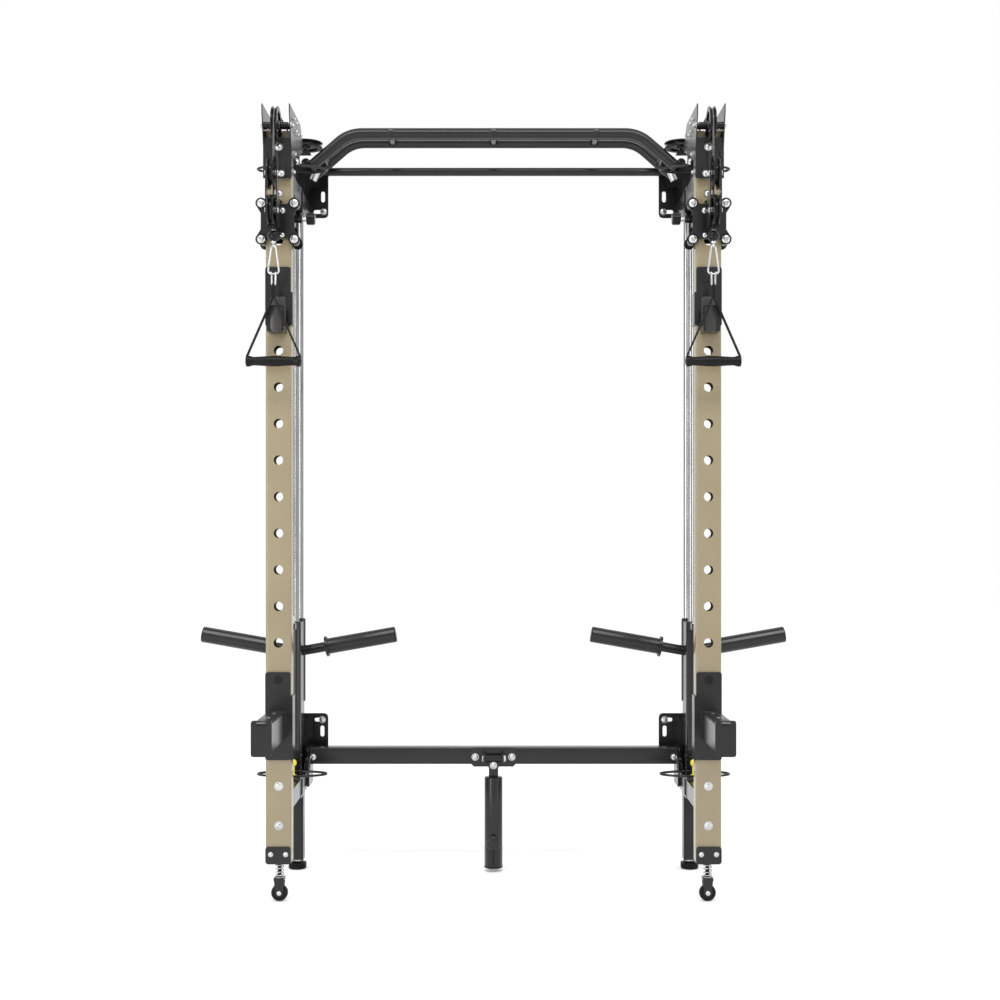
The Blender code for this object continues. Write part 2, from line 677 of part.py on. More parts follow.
def carriage(side, slide):
    """Two sleeves on the guide rods, the web between them, horn stubs, bumpers and the cable lug."""
    height = CARRIAGE_TOP - CARRIAGE_BOTTOM
    middle = (CARRIAGE_TOP + CARRIAGE_BOTTOM) / 2
    body = rod(SLEEVE_RADIUS, height, side.at(0, ROD_FRONT_Y, middle), "Z", 16)
    rear_low = CARRIAGE_BOTTOM + 0.135
    rear_top = CARRIAGE_TOP + 0.001
    join(body, span(
        side.at(-WEB_THICKNESS / 2, ROD_FRONT_Y, CARRIAGE_BOTTOM + 0.004),
        side.at(WEB_THICKNESS / 2, ROD_REAR_Y, CARRIAGE_TOP - 0.004),
    ), rod(SLEEVE_RADIUS, rear_top - rear_low, side.at(0, ROD_REAR_Y, (rear_top + rear_low) / 2), "Z", 16))
    horn_y = ROD_MIDDLE_Y + HORN_FROM_ROD_MIDDLE
    for way in (-1, 1):
        tip = side.at(way * (HORN_START + 0.004), horn_y, HORN_Z + 0.004 * math.tan(HORN_RISE))
        root = side.at(0, horn_y, HORN_Z - HORN_START * math.tan(HORN_RISE))
        slope = (tip - root).to_track_quat("Z", "Y").to_matrix().to_4x4()
        join(body, rod(HORN_STUB_RADIUS, (tip - root).length, (tip + root) / 2, slope, 14), horn(side, way))
    lug_end = FOLD_Y - 0.010
    join(body, span(
        side.at(-0.008, lug_end, CARRIAGE_TOP - 0.020), side.at(0.008, ROD_FRONT_Y - 0.006, CARRIAGE_TOP - 0.002)
    ))
    for y in (ROD_FRONT_Y, ROD_REAR_Y):
        cut(body, rod(ROD_RADIUS + ROD_CLEARANCE, 1.0, side.at(0, y, middle), "Z", 16))
    return node(body, side.name("carriage"), BLACK, slide)


def horn(side, way):
    """A weight horn: inner collar and sleeve, rising outwards from the carriage."""
    start = side.at(way * HORN_START, ROD_MIDDLE_Y + HORN_FROM_ROD_MIDDLE, HORN_Z)
    outward = Vector((-way * side.sign, 0, math.tan(HORN_RISE))).normalized()
    length = (HORN_END - HORN_START) / math.cos(HORN_RISE) - HORN_RADIUS * math.tan(HORN_RISE)
    profile = [
        (0, length), (HORN_RADIUS - 0.002, length), (HORN_RADIUS, length - 0.002),
        (HORN_RADIUS, COLLAR_WIDTH), (COLLAR_RADIUS, COLLAR_WIDTH), (COLLAR_RADIUS, 0), (0, 0),
    ]
    body = turned(profile, start, steps=18)
    body.matrix_basis = Matrix.Translation(start) @ outward.to_track_quat("Z", "Y").to_matrix().to_4x4()
    return body


def pulley_bracket(side, gate):
    """Two side plates over the upright's top, the front plate, the pulley axle and the cross spacers."""
    top = UPRIGHT_TOP
    profile = [
        (FRONT_Y - 0.050, top + 0.060), (FRONT_Y - 0.050, top + 0.040), (FRONT_Y - 0.020, top - 0.050),
        (FRONT_Y - 0.020, top - 0.135), (FRONT_Y + 0.012, top - 0.120), (FRONT_Y + 0.012, top - 0.079),
        (FRONT_Y + 0.209, top - 0.005), (FRONT_Y + 0.205, top + 0.030), (FRONT_Y + 0.165, top + 0.062),
    ]
    inner = UPRIGHT_WIDTH / 2 + BRACKET_GAP
    centre = inner + BRACKET_PLATE / 2
    body = plate(profile, BRACKET_PLATE, side.at(centre, 0, 0), "X")
    join(body, plate(profile, BRACKET_PLATE, side.at(-centre, 0, 0), "X"))
    join(body, span(
        side.at(-centre, FRONT_Y - 0.0202, top - 0.134), side.at(centre, FRONT_Y - 0.0165, top - 0.024)
    ))
    cut(body, span(
        side.at(-SWIVEL_OUTWARD - 0.0115, FRONT_Y - 0.022, top - 0.0445),
        side.at(-SWIVEL_OUTWARD + 0.0115, FRONT_Y - 0.016, top - 0.020),
    ))
    wide = 2 * centre
    join(body, rod(AXLE_RADIUS, wide, side.at(0, TOP_PULLEY_Y, PULLEY_Z), "X", 10))
    join(body, rod(0.006, wide, side.at(0, FRONT_Y + 0.045, top + 0.025), "X", 10))
    join(body, rod(0.006, wide, side.at(0, FRONT_Y + 0.150, top + 0.030), "X", 10))
    return node(body, side.name("pulley_bracket"), BLACK, gate)


def pulley(side, centre, axis, radius, width, groove, half_hub, name, parent):
    profile = pulley_profile(radius, width, groove, PULLEY_BORE, half_hub)
    body = turned(profile, centre, axis, steps=14)
    return node(body, side.name(name), PLASTIC, parent)


def trolley_outline():
    """A plate with shallow concave sides and a round lug at each corner."""
    points = []
    for turn, (u, v) in enumerate(((1, 1), (-1, 1), (-1, -1), (1, -1))):
        middle = math.atan2(v * ROLLER_HEIGHT, u * ROLLER_OFFSET)
        for step in range(-2, 3):
            angle = middle + step * math.radians(36)
            points.append((
                u * ROLLER_OFFSET + LUG_RADIUS * math.cos(angle), v * ROLLER_HEIGHT + LUG_RADIUS * math.sin(angle)
            ))
        if turn in (0, 2):
            points.append((0.026 * u, v * (ROLLER_HEIGHT - 0.002)))
            points.append((-0.026 * u, v * (ROLLER_HEIGHT - 0.002)))
        else:
            points.append((u * (ROLLER_OFFSET + 0.001), 0.022 * v))
            points.append((u * (ROLLER_OFFSET + 0.001), -0.022 * v))
    return points


def trolley(side, slide):
    """Front and rear plates round the upright, four roller axles, the pop-pin block and the swivel pin."""
    front = FRONT_Y - TROLLEY_STANDOFF - TROLLEY_PLATE / 2
    rear = BACK_Y + TROLLEY_STANDOFF + TROLLEY_PLATE / 2
    body = plate(trolley_outline(), TROLLEY_PLATE, side.at(0, front, TROLLEY_Z))
    join(body, plate(trolley_outline(), TROLLEY_PLATE, side.at(0, rear, TROLLEY_Z)))
    for across in (-1, 1):
        for up in (-1, 1):
            centre = side.at(across * ROLLER_OFFSET, (front + rear) / 2, TROLLEY_Z + up * ROLLER_HEIGHT)
            join(body, rod(0.0085, rear - front, centre, "Y", 10))
    pin_z = TROLLEY_Z + PIN_ABOVE_TROLLEY
    wall_in = UPRIGHT_WIDTH / 2 + 0.004
    join(body, span(
        side.at(wall_in, front, pin_z - 0.022), side.at(wall_in + 0.004, rear, pin_z + 0.022)
    ))
    pin_y = FRONT_Y + UPRIGHT_DEPTH / 2
    join(body, rod(0.011, 0.022, side.at(wall_in + 0.013, pin_y, pin_z), "X", 12))
    cut(body, rod(PIN_RADIUS + 0.0004, 0.08, side.at(wall_in + 0.013, pin_y, pin_z), "X", 12))
    for level in (TROLLEY_Z - SWIVEL_BELOW - TAB, TROLLEY_Z - SWIVEL_BELOW + SWIVEL_HEIGHT + TAB):
        tab = span(
            side.at(-0.0095 - SWIVEL_OUTWARD, SWIVEL_Y - 0.0095, level - TAB / 2),
            side.at(0.0095 - SWIVEL_OUTWARD, front + 0.001, level + TAB / 2),
        )
        join(body, tab)
        cut(body, rod(STEM_RADIUS + 0.0004, 0.02, side.at(-SWIVEL_OUTWARD, SWIVEL_Y, level), "Z", 12))
    join(body, span(
        side.at(-0.012 - SWIVEL_OUTWARD, front - 0.006, TROLLEY_Z - SWIVEL_BELOW - TAB),
        side.at(0.012 - SWIVEL_OUTWARD, front + 0.001, TROLLEY_Z - SWIVEL_BELOW + SWIVEL_HEIGHT + TAB),
    ))
    return node(body, side.name("trolley"), BLACK, slide)


def trolley_pin(side, slide):
    """Pop-pin: thin pin through the trolley's block, and the knob."""
    wall_in = UPRIGHT_WIDTH / 2 + 0.004
    pin_y = FRONT_Y + UPRIGHT_DEPTH / 2
    pin_z = TROLLEY_Z + PIN_ABOVE_TROLLEY
    tip = UPRIGHT_WIDTH / 2 + 0.0006
    knob_start = wall_in + 0.024 + 0.0105
    body = rod(PIN_RADIUS, knob_start - tip + 0.002, side.at((knob_start + tip + 0.002) / 2, pin_y, pin_z), "X", 16)
    join(body, rod(KNOB_RADIUS, KNOB_LENGTH, side.at(knob_start + KNOB_LENGTH / 2, pin_y, pin_z), "X", 12))
    return node(body, side.name("trolley_pin"), PLASTIC, slide)


def swivel_pulley_centre(side):
    """The swivel pulley's groove is tangent to the cable on the swivel's axis."""
    ahead = SWIVEL_GROOVE + CABLE_RADIUS + GAP
    return side.at(-SWIVEL_OUTWARD, SWIVEL_Y - ahead, TROLLEY_Z + SWIVEL_PULLEY_ABOVE)


def swivel_bracket(side, swivel):
    """The housing that turns on the trolley: two long cheeks, hollow stems and the two pulley axles."""
    low = TROLLEY_Z - SWIVEL_BELOW + GAP
    high = low + SWIVEL_HEIGHT - 2 * GAP
    crest = low + SWIVEL_CREST
    inner = SWIVEL_PULLEY_WIDTH / 2 + SWIVEL_SPACER
    centre = swivel_pulley_centre(side)
    front = centre.y - 0.012
    body = None
    for way in (-1, 1):
        outline = [
            (front, low + 0.022), (front, crest - 0.020), (front + 0.010, crest), (SWIVEL_Y - 0.016, crest),
            (SWIVEL_Y - 0.016, high), (SWIVEL_Y + 0.010, high), (SWIVEL_Y + 0.010, low), (SWIVEL_Y - 0.014, low),
        ]
        offset = way * (inner + SWIVEL_CHEEK / 2)
        cheek = plate(outline, SWIVEL_CHEEK, side.at(offset - SWIVEL_OUTWARD, 0, 0), "X")
        body = cheek if body is None else join(body, cheek)
    for level, way in ((low, 1), (high, -1)):
        bridge = block((2 * inner + 0.002, 0.020, 0.004), side.at(-SWIVEL_OUTWARD, SWIVEL_Y, level + way * 0.002))
        stem = rod(STEM_RADIUS, 0.010, side.at(-SWIVEL_OUTWARD, SWIVEL_Y, level - way * 0.003), "Z", 12)
        join(body, bridge, stem)
    upper = Vector((centre.x, centre.y, TROLLEY_Z + GUIDE_PULLEY_ABOVE))
    join(body, rod(AXLE_RADIUS, 2 * inner + 0.002, centre, "X", 10), rod(AXLE_RADIUS, 2 * inner + 0.002, upper, "X", 10))
    cut(body, rod(CABLE_RADIUS + 0.0012, 0.3, side.at(-SWIVEL_OUTWARD, SWIVEL_Y, TROLLEY_Z + 0.06), "Z", 12))
    return node(body, side.name("swivel_bracket"), BLACK, swivel)


def handle_link(side, pull):
    """Ball stop and snap hook between the cable and the handle."""
    x = side.x(-SWIVEL_OUTWARD)
    body = ball(BALL_RADIUS, (x, SWIVEL_Y, BALL_Z))
    hook_top = BALL_Z - BALL_RADIUS - 0.006
    hook_low = HANDLE_APEX_Z + 0.006
    hook = plate(
        rounded_outline(0.026, hook_top - hook_low, 0.0128, 2), 0.006, (x, SWIVEL_Y, (hook_top + hook_low) / 2)
    )
    eye = plate(
        rounded_outline(0.015, hook_top - hook_low - 0.011, 0.0074, 2), 0.02, (x, SWIVEL_Y, (hook_top + hook_low) / 2)
    )
    cut(hook, eye)
    join(body, rod(0.005, 0.016, (x, SWIVEL_Y, BALL_Z - BALL_RADIUS - 0.004), "Z", 12), hook)
    return node(body, side.name("handle_link"), STEEL, pull)


def handle(side, swing):
    """Strap over the snap hook's end and down to both ends of the grip."""
    x = side.x(-SWIVEL_OUTWARD)
    half = GRIP_HALF - 0.006
    apex = HANDLE_APEX_Z
    points = [(x - half, SWIVEL_Y, GRIP_Z), (x - 0.010, SWIVEL_Y, apex - 0.020), (x, SWIVEL_Y, apex - 0.005)]
    points += [(x + 0.010, SWIVEL_Y, apex - 0.020), (x + half, SWIVEL_Y, GRIP_Z)]
    body = pipe(points, 0.005, resolution=2)
    join(body, rod(GRIP_ROD_RADIUS, 2 * GRIP_HALF, (x, SWIVEL_Y, GRIP_Z), "X", 16))
    return node(body, side.name("handle"), RUBBER, swing)


def cable(side, gate):
    """From the ball stop up over both pulleys and down through the hollow fold pin to the carriage."""
    outer = -SWIVEL_OUTWARD
    run_z = PULLEY_Z + CABLE_WRAP
    points = [side.at(outer, SWIVEL_Y, BALL_Z + BALL_RADIUS + 0.001), side.at(outer, SWIVEL_Y, TROLLEY_Z + 0.05)]
    steps = 7
    for step in range(steps + 1):
        angle = math.pi / 2 * step / steps
        y = TOP_PULLEY_Y - CABLE_WRAP * math.cos(angle)
        points.append(side.at(outer, y, PULLEY_Z + CABLE_WRAP * math.sin(angle)))
    points.append(side.at(outer / 2, (TOP_PULLEY_Y + DROP_PULLEY_Y) / 2, run_z))
    for step in range(steps + 1):
        angle = math.pi / 2 * (1 - step / steps)
        y = DROP_PULLEY_Y + CABLE_WRAP * math.cos(angle)
        points.append(side.at(0, y, PULLEY_Z + CABLE_WRAP * math.sin(angle)))
    points.append(side.at(0, FOLD_Y, TOP_ARM_Z - ARM))
    points.append(side.at(0, FOLD_Y, (TOP_ARM_Z + CARRIAGE_TOP) / 2))
    points.append(side.at(0, FOLD_Y, CARRIAGE_TOP - 0.002 + GAP))
    return node(pipe(points, CABLE_RADIUS, resolution=2), side.name("cable"), CABLE_COAT, gate)


def bumper(side):
    """Rubber stop round the foot of the front guide rod."""
    low = LOWER_ARM_Z + ARM / 2 + GAP
    height = CARRIAGE_BOTTOM - low - GAP
    profile = [
        (BUMPER_RADIUS - 0.002, low + height), (BUMPER_RADIUS, low + height - 0.003), (BUMPER_RADIUS - 0.003, low + height / 2),
        (BUMPER_RADIUS, low + 0.004), (BUMPER_RADIUS, low), (ROD_RADIUS + GAP, low), (ROD_RADIUS + GAP, low + height),
    ]
    return node(turned(profile, side.at(0, ROD_FRONT_Y, 0), steps=14), side.name("bumper"), RUBBER)


def j_hook(side, gate):
    """Back plate with its peg in a hole, side cheeks, shelf and lip."""
    back = FRONT_Y - GAP - HOOK_PLATE / 2
    low, high = HOOK_Z - HOOK_BELOW, HOOK_Z + HOOK_ABOVE
    half = UPRIGHT_WIDTH / 2
    body = plate(
        rounded_outline(UPRIGHT_WIDTH, high - low, 0.006, 2), HOOK_PLATE, side.at(0, back, (low + high) / 2)
    )
    lip_y = FRONT_Y - 0.056
    join(body, span(side.at(-0.023, lip_y, low - 0.020), side.at(0.023, back, low + 0.006)))
    join(body, span(side.at(-0.023, lip_y, low - 0.020), side.at(0.023, lip_y + HOOK_PLATE, low + 0.050)))
    cheek_top = low + 0.093
    join(body, span(
        side.at(half + 0.0004, back, low + 0.004), side.at(half + 0.005, FRONT_Y + 0.034, cheek_top)
    ), span(
        side.at(half - 0.002, back - HOOK_PLATE / 2, low + 0.004), side.at(half + 0.005, back, cheek_top)
    ))
    join(body, rod(PEG_RADIUS, 0.030, side.at(0, FRONT_Y + 0.008, HOOK_Z), "Y", 12))
    return node(body, side.name("j_hook"), BLACK, gate)


def spotter_arm(side, gate):
    """Bracket plate with its peg, the safety arm's square tube and its end plate."""
    back = FRONT_Y - GAP - HOOK_PLATE / 2
    low, high = SPOTTER_Z - SPOTTER_BELOW, SPOTTER_Z + SPOTTER_ABOVE
    half = UPRIGHT_WIDTH / 2
    body = plate(
        rounded_outline(UPRIGHT_WIDTH, high - low, 0.006, 2), HOOK_PLATE, side.at(0, back, (low + high) / 2)
    )
    arm_top = SPOTTER_Z - SPOTTER_TOP_BELOW
    tip = FRONT_Y - SPOTTER_REACH
    arm_z = arm_top - SPOTTER_HEIGHT / 2
    middle = side.at(-SPOTTER_OUTWARD, (tip + 0.004 + back) / 2, arm_z)
    join(body, block((SPOTTER_WIDTH, back - tip - 0.004, SPOTTER_HEIGHT), middle))
    end = plate(
        rounded_outline(END_PLATE_WIDTH, END_PLATE_HEIGHT, 0.006, 2), 0.005, side.at(-SPOTTER_OUTWARD, tip + 0.0025, arm_z)
    )
    slot = plate(
        rounded_outline(END_SLOT_LENGTH, END_SLOT_WIDTH, END_SLOT_WIDTH / 2 - 0.0002, 2), 0.010,
        side.at(-SPOTTER_OUTWARD, tip, arm_z + END_PLATE_HEIGHT / 2 - END_SLOT_BELOW),
    )
    join(body, cut(end, slot))
    cheek_top = SPOTTER_Z - SPOTTER_CHEEK_BELOW
    join(body, span(
        side.at(half + 0.0004, back, low), side.at(half + 0.005, FRONT_Y + 0.040, cheek_top)
    ), span(
        side.at(half - 0.002, back - HOOK_PLATE / 2, low), side.at(half + 0.005, back, cheek_top)
    ))
    join(body, rod(PEG_RADIUS, 0.030, side.at(0, FRONT_Y + 0.008, SPOTTER_Z), "Y", 12))
    return node(body, side.name("spotter_arm"), BLACK, gate)


def caster_bracket(side, gate):
    high = UPRIGHT_BOTTOM + CASTER_PLATE_HEIGHT - CASTER_PLATE
    front = FRONT_Y - GAP - CASTER_PLATE / 2
    low = UPRIGHT_BOTTOM - CASTER_PLATE
    body = plate(
        rounded_outline(UPRIGHT_WIDTH, high - low, 0.008, 3), CASTER_PLATE, side.at(0, front, (low + high) / 2)
    )
    join(body, span(
        side.at(-UPRIGHT_WIDTH / 2 + 0.008, front, low), side.at(UPRIGHT_WIDTH / 2 - 0.008, BACK_Y, UPRIGHT_BOTTOM - GAP)
    ))
    stem = side.at(0, FRONT_Y + UPRIGHT_DEPTH / 2, UPRIGHT_BOTTOM)
    cut(body, rod(CASTER_STEM_RADIUS + 0.0004, 0.02, stem, "Z", 12))
    return node(body, side.name("caster_bracket"), BLACK, gate)


def caster_fork(side, spring):
    """Stem, crown and two legs with the wheel's axle."""
    y = FRONT_Y + UPRIGHT_DEPTH / 2
    crown = 0.058
    body = rod(CASTER_STEM_RADIUS, 0.077, side.at(0, y, crown + 0.0385), "Z", 12)
    join(body, block((FORK_WIDTH, 0.032, 0.007), side.at(0, y, crown + 0.0035)))
    for way in (-1, 1):
        outline = [(-FORK_WIDTH / 2, crown + 0.004), (-0.010, WHEEL_RADIUS - 0.004), (-0.005, WHEEL_RADIUS - 0.009)]
        outline += [(0.005, WHEEL_RADIUS - 0.009), (0.010, WHEEL_RADIUS - 0.004), (FORK_WIDTH / 2, crown + 0.004)]
        centre = side.at(0, y + way * (WHEEL_WIDTH / 2 + 0.003), 0)
        join(body, plate(outline, 0.003, centre))
    join(body, rod(AXLE_RADIUS - 0.001, 0.030, side.at(0, y, WHEEL_RADIUS), "Y", 10))
    return node(body, side.name("caster_fork"), BLACK, spring)


def caster_wheel(side, spin):
    half = WHEEL_WIDTH / 2
    profile = [
        (AXLE_RADIUS - 0.0006, half), (WHEEL_RADIUS - 0.004, half), (WHEEL_RADIUS, half - 0.004),
        (WHEEL_RADIUS, -half + 0.004), (WHEEL_RADIUS - 0.004, -half), (AXLE_RADIUS - 0.0006, -half),
    ]
    centre = side.at(0, FRONT_Y + UPRIGHT_DEPTH / 2, WHEEL_RADIUS)
    return node(turned(profile, centre, "Y", steps=14), side.name("caster_wheel"), RUBBER, spin)


def cross_beam():
    end = HALF_WIDTH - BEAM_END_INWARD
    y = WALL_Y - BEAM_FROM_WALL
    body = tube(BEAM, BEAM, 2 * end - 0.006, (0, y, BEAM_Z), "X")
    for way in (-1, 1):
        join(body, block((0.005, BEAM + 0.004, BEAM + 0.004), (way * (end - 0.0025 - GAP), y, BEAM_Z)))
    cut(body, rod(BEAM / 4, 2 * end + 0.1, (0, y, BEAM_Z), "X", 12))
    return node(body, "cross_beam", BLACK)


def tie_bar():
    end = HALF_WIDTH - TIE_END_INWARD
    y = WALL_Y - TIE_FROM_WALL
    z = UPRIGHT_TOP + TIE_ABOVE_TOP
    body = rod(TIE_RADIUS, 2 * end, (0, y, z), "X", 12)
    for way in (-1, 1):
        join(body, span((way * (end - 0.024), y, z - 0.011), (way * end, WALL_Y - WALL_PLATE - GAP, z + 0.011)))
    return node(body, "tie_bar", BLACK)


def bar_route(y):
    """One bent tube: flat in the middle, an arc each side and a straight fall to each end."""
    flat_z = UPRIGHT_TOP + BAR_ABOVE_TOP
    end = Vector((HALF_WIDTH - BAR_END_INWARD, y, UPRIGHT_TOP - BAR_END_BELOW_TOP))
    corner = Vector((BAR_FLAT_HALF + 0.035, y, flat_z))
    fall = (end - corner).normalized()
    trim = 0.040
    start, stop = corner - Vector((trim, 0, 0)), corner + fall * trim
    half = [end, end - fall * 0.055]
    for step in range(6):
        t = 1 - step / 5
        half.append(start * (1 - t) ** 2 + corner * 2 * t * (1 - t) + stop * t ** 2)
    return [Vector((-p.x, p.y, p.z)) for p in half] + half[::-1]


def pull_up_bar():
    front, rear = WALL_Y - BAR_FRONT_FROM_WALL, WALL_Y - BAR_REAR_FROM_WALL
    body = pipe(bar_route(front), BAR_RADIUS, resolution=4)
    grips = [(x * GRIP_SPACING, UPRIGHT_TOP + BAR_ABOVE_TOP) for x in (-1, 0, 1)]
    spacer = bar_route(front)[1]
    grips += [(spacer.x, spacer.z), (-spacer.x, spacer.z)]
    for x, z in grips:
        join(body, rod(GRIP_RADIUS, rear - front, (x, (front + rear) / 2, z), "Y", 12))
    join(body, pipe(bar_route(rear), BAR_RADIUS, resolution=4))
    return node(body, "pull_up_bar", BLACK)


def landmine_bracket():
    front = WALL_Y - BEAM_FROM_WALL - BEAM / 2 - GAP
    half_w, half_h, chamfer = MINE_PLATE_WIDTH / 2, MINE_PLATE_HEIGHT / 2, 0.014
    outline = []
    for u, v in ((1, 1), (-1, 1), (-1, -1), (1, -1)):
        pair = [(u * half_w, v * (half_h - chamfer)), (u * (half_w - chamfer), v * half_h)]
        outline += pair if u * v > 0 else pair[::-1]
    body = plate(outline, MINE_PLATE, (0, front - MINE_PLATE / 2, BEAM_Z - 0.002))
    pin_y = front - MINE_PLATE - MINE_EAR / 2
    for way in (-1, 1):
        join(body, span(
            (way * 0.024, pin_y - 0.013, BEAM_Z - 0.018), (way * 0.030, front - MINE_PLATE / 2, BEAM_Z + 0.012)
        ))
    cut(body, rod(MINE_PIN_RADIUS + 0.0004, 0.1, (0, pin_y, BEAM_Z - 0.004), "X", 12))
    return node(body, "landmine_bracket", BLACK)


def mine_pin():
    return Vector((0, WALL_Y - BEAM_FROM_WALL - BEAM / 2 - GAP - MINE_PLATE - MINE_EAR / 2, BEAM_Z - 0.004))


def landmine_yoke(lift):
    pin = mine_pin()
    body = rod(MINE_PIN_RADIUS, 0.072, pin, "X", 12)
    join(body, rod(0.011, 0.046, pin, "X", 12))
    low = YOKE_TILT_Z
    join(body, span((-YOKE_WIDTH / 2, pin.y - 0.006, low), (YOKE_WIDTH / 2, pin.y + 0.006, pin.z)))
    join(body, rod(YOKE_WIDTH / 2, 0.012, (0, pin.y, low), "Y", 16))
    cut(body, rod(YOKE_TILT_HOLE, 0.1, (0, pin.y, low), "Y", 12))
    return node(body, "landmine_yoke", BLACK, lift)


def landmine_sleeve(swivel):
    pin = mine_pin()
    middle = (SLEEVE_TOP + SLEEVE_BOTTOM) / 2
    body = rod(SLEEVE_OUTER, SLEEVE_TOP - SLEEVE_BOTTOM, (0, pin.y, middle), "Z", 20)
    for way in (-1, 1):
        near, far = pin.y + way * 0.0065, pin.y + way * 0.0115
        join(body, span((-SLEEVE_EAR, near, SLEEVE_TOP - 0.004), (SLEEVE_EAR, far, YOKE_TILT_Z - 0.006)))
        join(body, rod(0.0095, 0.005, (0, (near + far) / 2, YOKE_TILT_Z), "Y", 12))
    join(body, rod(0.006, 0.030, (0, pin.y, YOKE_TILT_Z), "Y", 12))
    knob_y = pin.y - SLEEVE_OUTER - 0.004
    join(body, rod(SLEEVE_KNOB_RADIUS, 0.020, (0, knob_y, SLEEVE_KNOB_Z), "Y", 18))
    bore_top = SLEEVE_TOP - 0.012
    cut(body, rod(SLEEVE_BORE, 0.5, (0, pin.y, bore_top - 0.25), "Z", 20))
    return node(body, "landmine_sleeve", BLACK, swivel)


def build_side(side):
    fold = joint_empty(side.name("fold_axis"), side.at(0, FOLD_Y, LOWER_ARM_Z))
    lift = joint_empty(side.name("carriage_axis"), side.at(0, ROD_MIDDLE_Y, CARRIAGE_BOTTOM))
    slide = joint_empty(side.name("trolley_axis"), side.at(0, FRONT_Y, TROLLEY_Z), fold)
    pin = joint_empty(side.name("pin_axis"), side.at(0, FRONT_Y, TROLLEY_Z + PIN_ABOVE_TROLLEY), slide)
    swivel = joint_empty(side.name("swivel_axis"), side.at(-SWIVEL_OUTWARD, SWIVEL_Y, TROLLEY_Z), slide)
    pull = joint_empty(side.name("pull_axis"), side.at(-SWIVEL_OUTWARD, SWIVEL_Y, BALL_Z), swivel)
    swing = joint_empty(side.name("swing_axis"), side.at(-SWIVEL_OUTWARD, SWIVEL_Y, HANDLE_APEX_Z), pull)
    spring = joint_empty(
        side.name("caster_axis"), side.at(0, FRONT_Y + UPRIGHT_DEPTH / 2, UPRIGHT_BOTTOM), fold
    )
    upright(side, fold)
    gate_arm(side, fold, LOWER_ARM_Z, "gate_lower_arm", False)
    gate_arm(side, fold, TOP_ARM_Z, "gate_top_arm", True)
    wall_bracket_top(side)
    wall_bracket_bottom(side)
    levelling_foot(side)
    guide_rod(side, ROD_FRONT_Y, "guide_rod_front")
    guide_rod(side, ROD_REAR_Y, "guide_rod_rear")
    fold_pin(side)
    carriage(side, lift)
    bumper(side)
    pulley_bracket(side, fold)
    big = (PULLEY_RADIUS, PULLEY_WIDTH, GROOVE_RADIUS, PULLEY_WIDTH / 2 + 0.002)
    pulley(side, side.at(-SWIVEL_OUTWARD, TOP_PULLEY_Y, PULLEY_Z), "X", *big, "top_pulley", fold)
    pulley(side, side.at(0, DROP_PULLEY_Y, PULLEY_Z), "X", *big, "drop_pulley", fold)
    idler = side.at(IDLER_INWARD, WALL_Y - IDLER_FROM_WALL, UPRIGHT_TOP + IDLER_ABOVE_TOP)
    pulley(side, idler, "Z", *big, "idler_pulley", None)
    trolley(side, slide)
    trolley_pin(side, pin)
    swivel_bracket(side, swivel)
    half_hub = SWIVEL_PULLEY_WIDTH / 2 + SWIVEL_SPACER - BRACKET_GAP
    small = (SWIVEL_PULLEY_RADIUS, SWIVEL_PULLEY_WIDTH, SWIVEL_GROOVE, half_hub)
    pulley(side, swivel_pulley_centre(side), "X", *small, "swivel_pulley", swivel)
    handle_link(side, pull)
    handle(side, swing)
    cable(side, fold)
    j_hook(side, fold)
    spotter_arm(side, fold)
    caster_bracket(side, fold)
    caster_fork(side, spring)
    caster_wheel(side, spring)


for rack_side in (Side(-1, "left"), Side(1, "right")):
    build_side(rack_side)
cross_beam()
tie_bar()
pull_up_bar()
landmine_bracket()
landmine_yoke(joint_empty("landmine_lift_axis", mine_pin()))
landmine_sleeve(joint_empty("landmine_swivel_axis", (0, mine_pin().y, YOKE_TILT_Z)))
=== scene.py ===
"""Power cage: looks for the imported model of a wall-mounted folding rack with two cable towers."""

import json
import math

import bmesh
import bpy
from mathutils import Matrix, Vector

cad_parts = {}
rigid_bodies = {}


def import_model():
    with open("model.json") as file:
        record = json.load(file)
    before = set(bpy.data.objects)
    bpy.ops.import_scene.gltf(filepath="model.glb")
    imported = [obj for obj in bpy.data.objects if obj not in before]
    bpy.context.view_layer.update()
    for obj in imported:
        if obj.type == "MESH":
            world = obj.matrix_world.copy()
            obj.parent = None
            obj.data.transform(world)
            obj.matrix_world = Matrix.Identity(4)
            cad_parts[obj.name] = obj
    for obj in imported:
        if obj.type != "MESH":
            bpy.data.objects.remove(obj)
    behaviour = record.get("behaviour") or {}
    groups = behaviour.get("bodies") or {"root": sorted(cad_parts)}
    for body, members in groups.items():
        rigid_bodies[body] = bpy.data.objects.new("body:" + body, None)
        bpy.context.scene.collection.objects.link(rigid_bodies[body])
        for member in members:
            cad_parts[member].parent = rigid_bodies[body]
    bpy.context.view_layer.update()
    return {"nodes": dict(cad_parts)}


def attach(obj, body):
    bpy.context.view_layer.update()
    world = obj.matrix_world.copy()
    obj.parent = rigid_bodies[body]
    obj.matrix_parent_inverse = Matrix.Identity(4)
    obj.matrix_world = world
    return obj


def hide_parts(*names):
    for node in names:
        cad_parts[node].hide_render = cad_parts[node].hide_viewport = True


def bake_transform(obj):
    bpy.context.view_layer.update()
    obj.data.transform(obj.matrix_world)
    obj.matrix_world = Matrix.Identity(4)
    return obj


for startup_object in list(bpy.data.objects):
    bpy.data.objects.remove(startup_object)
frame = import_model()

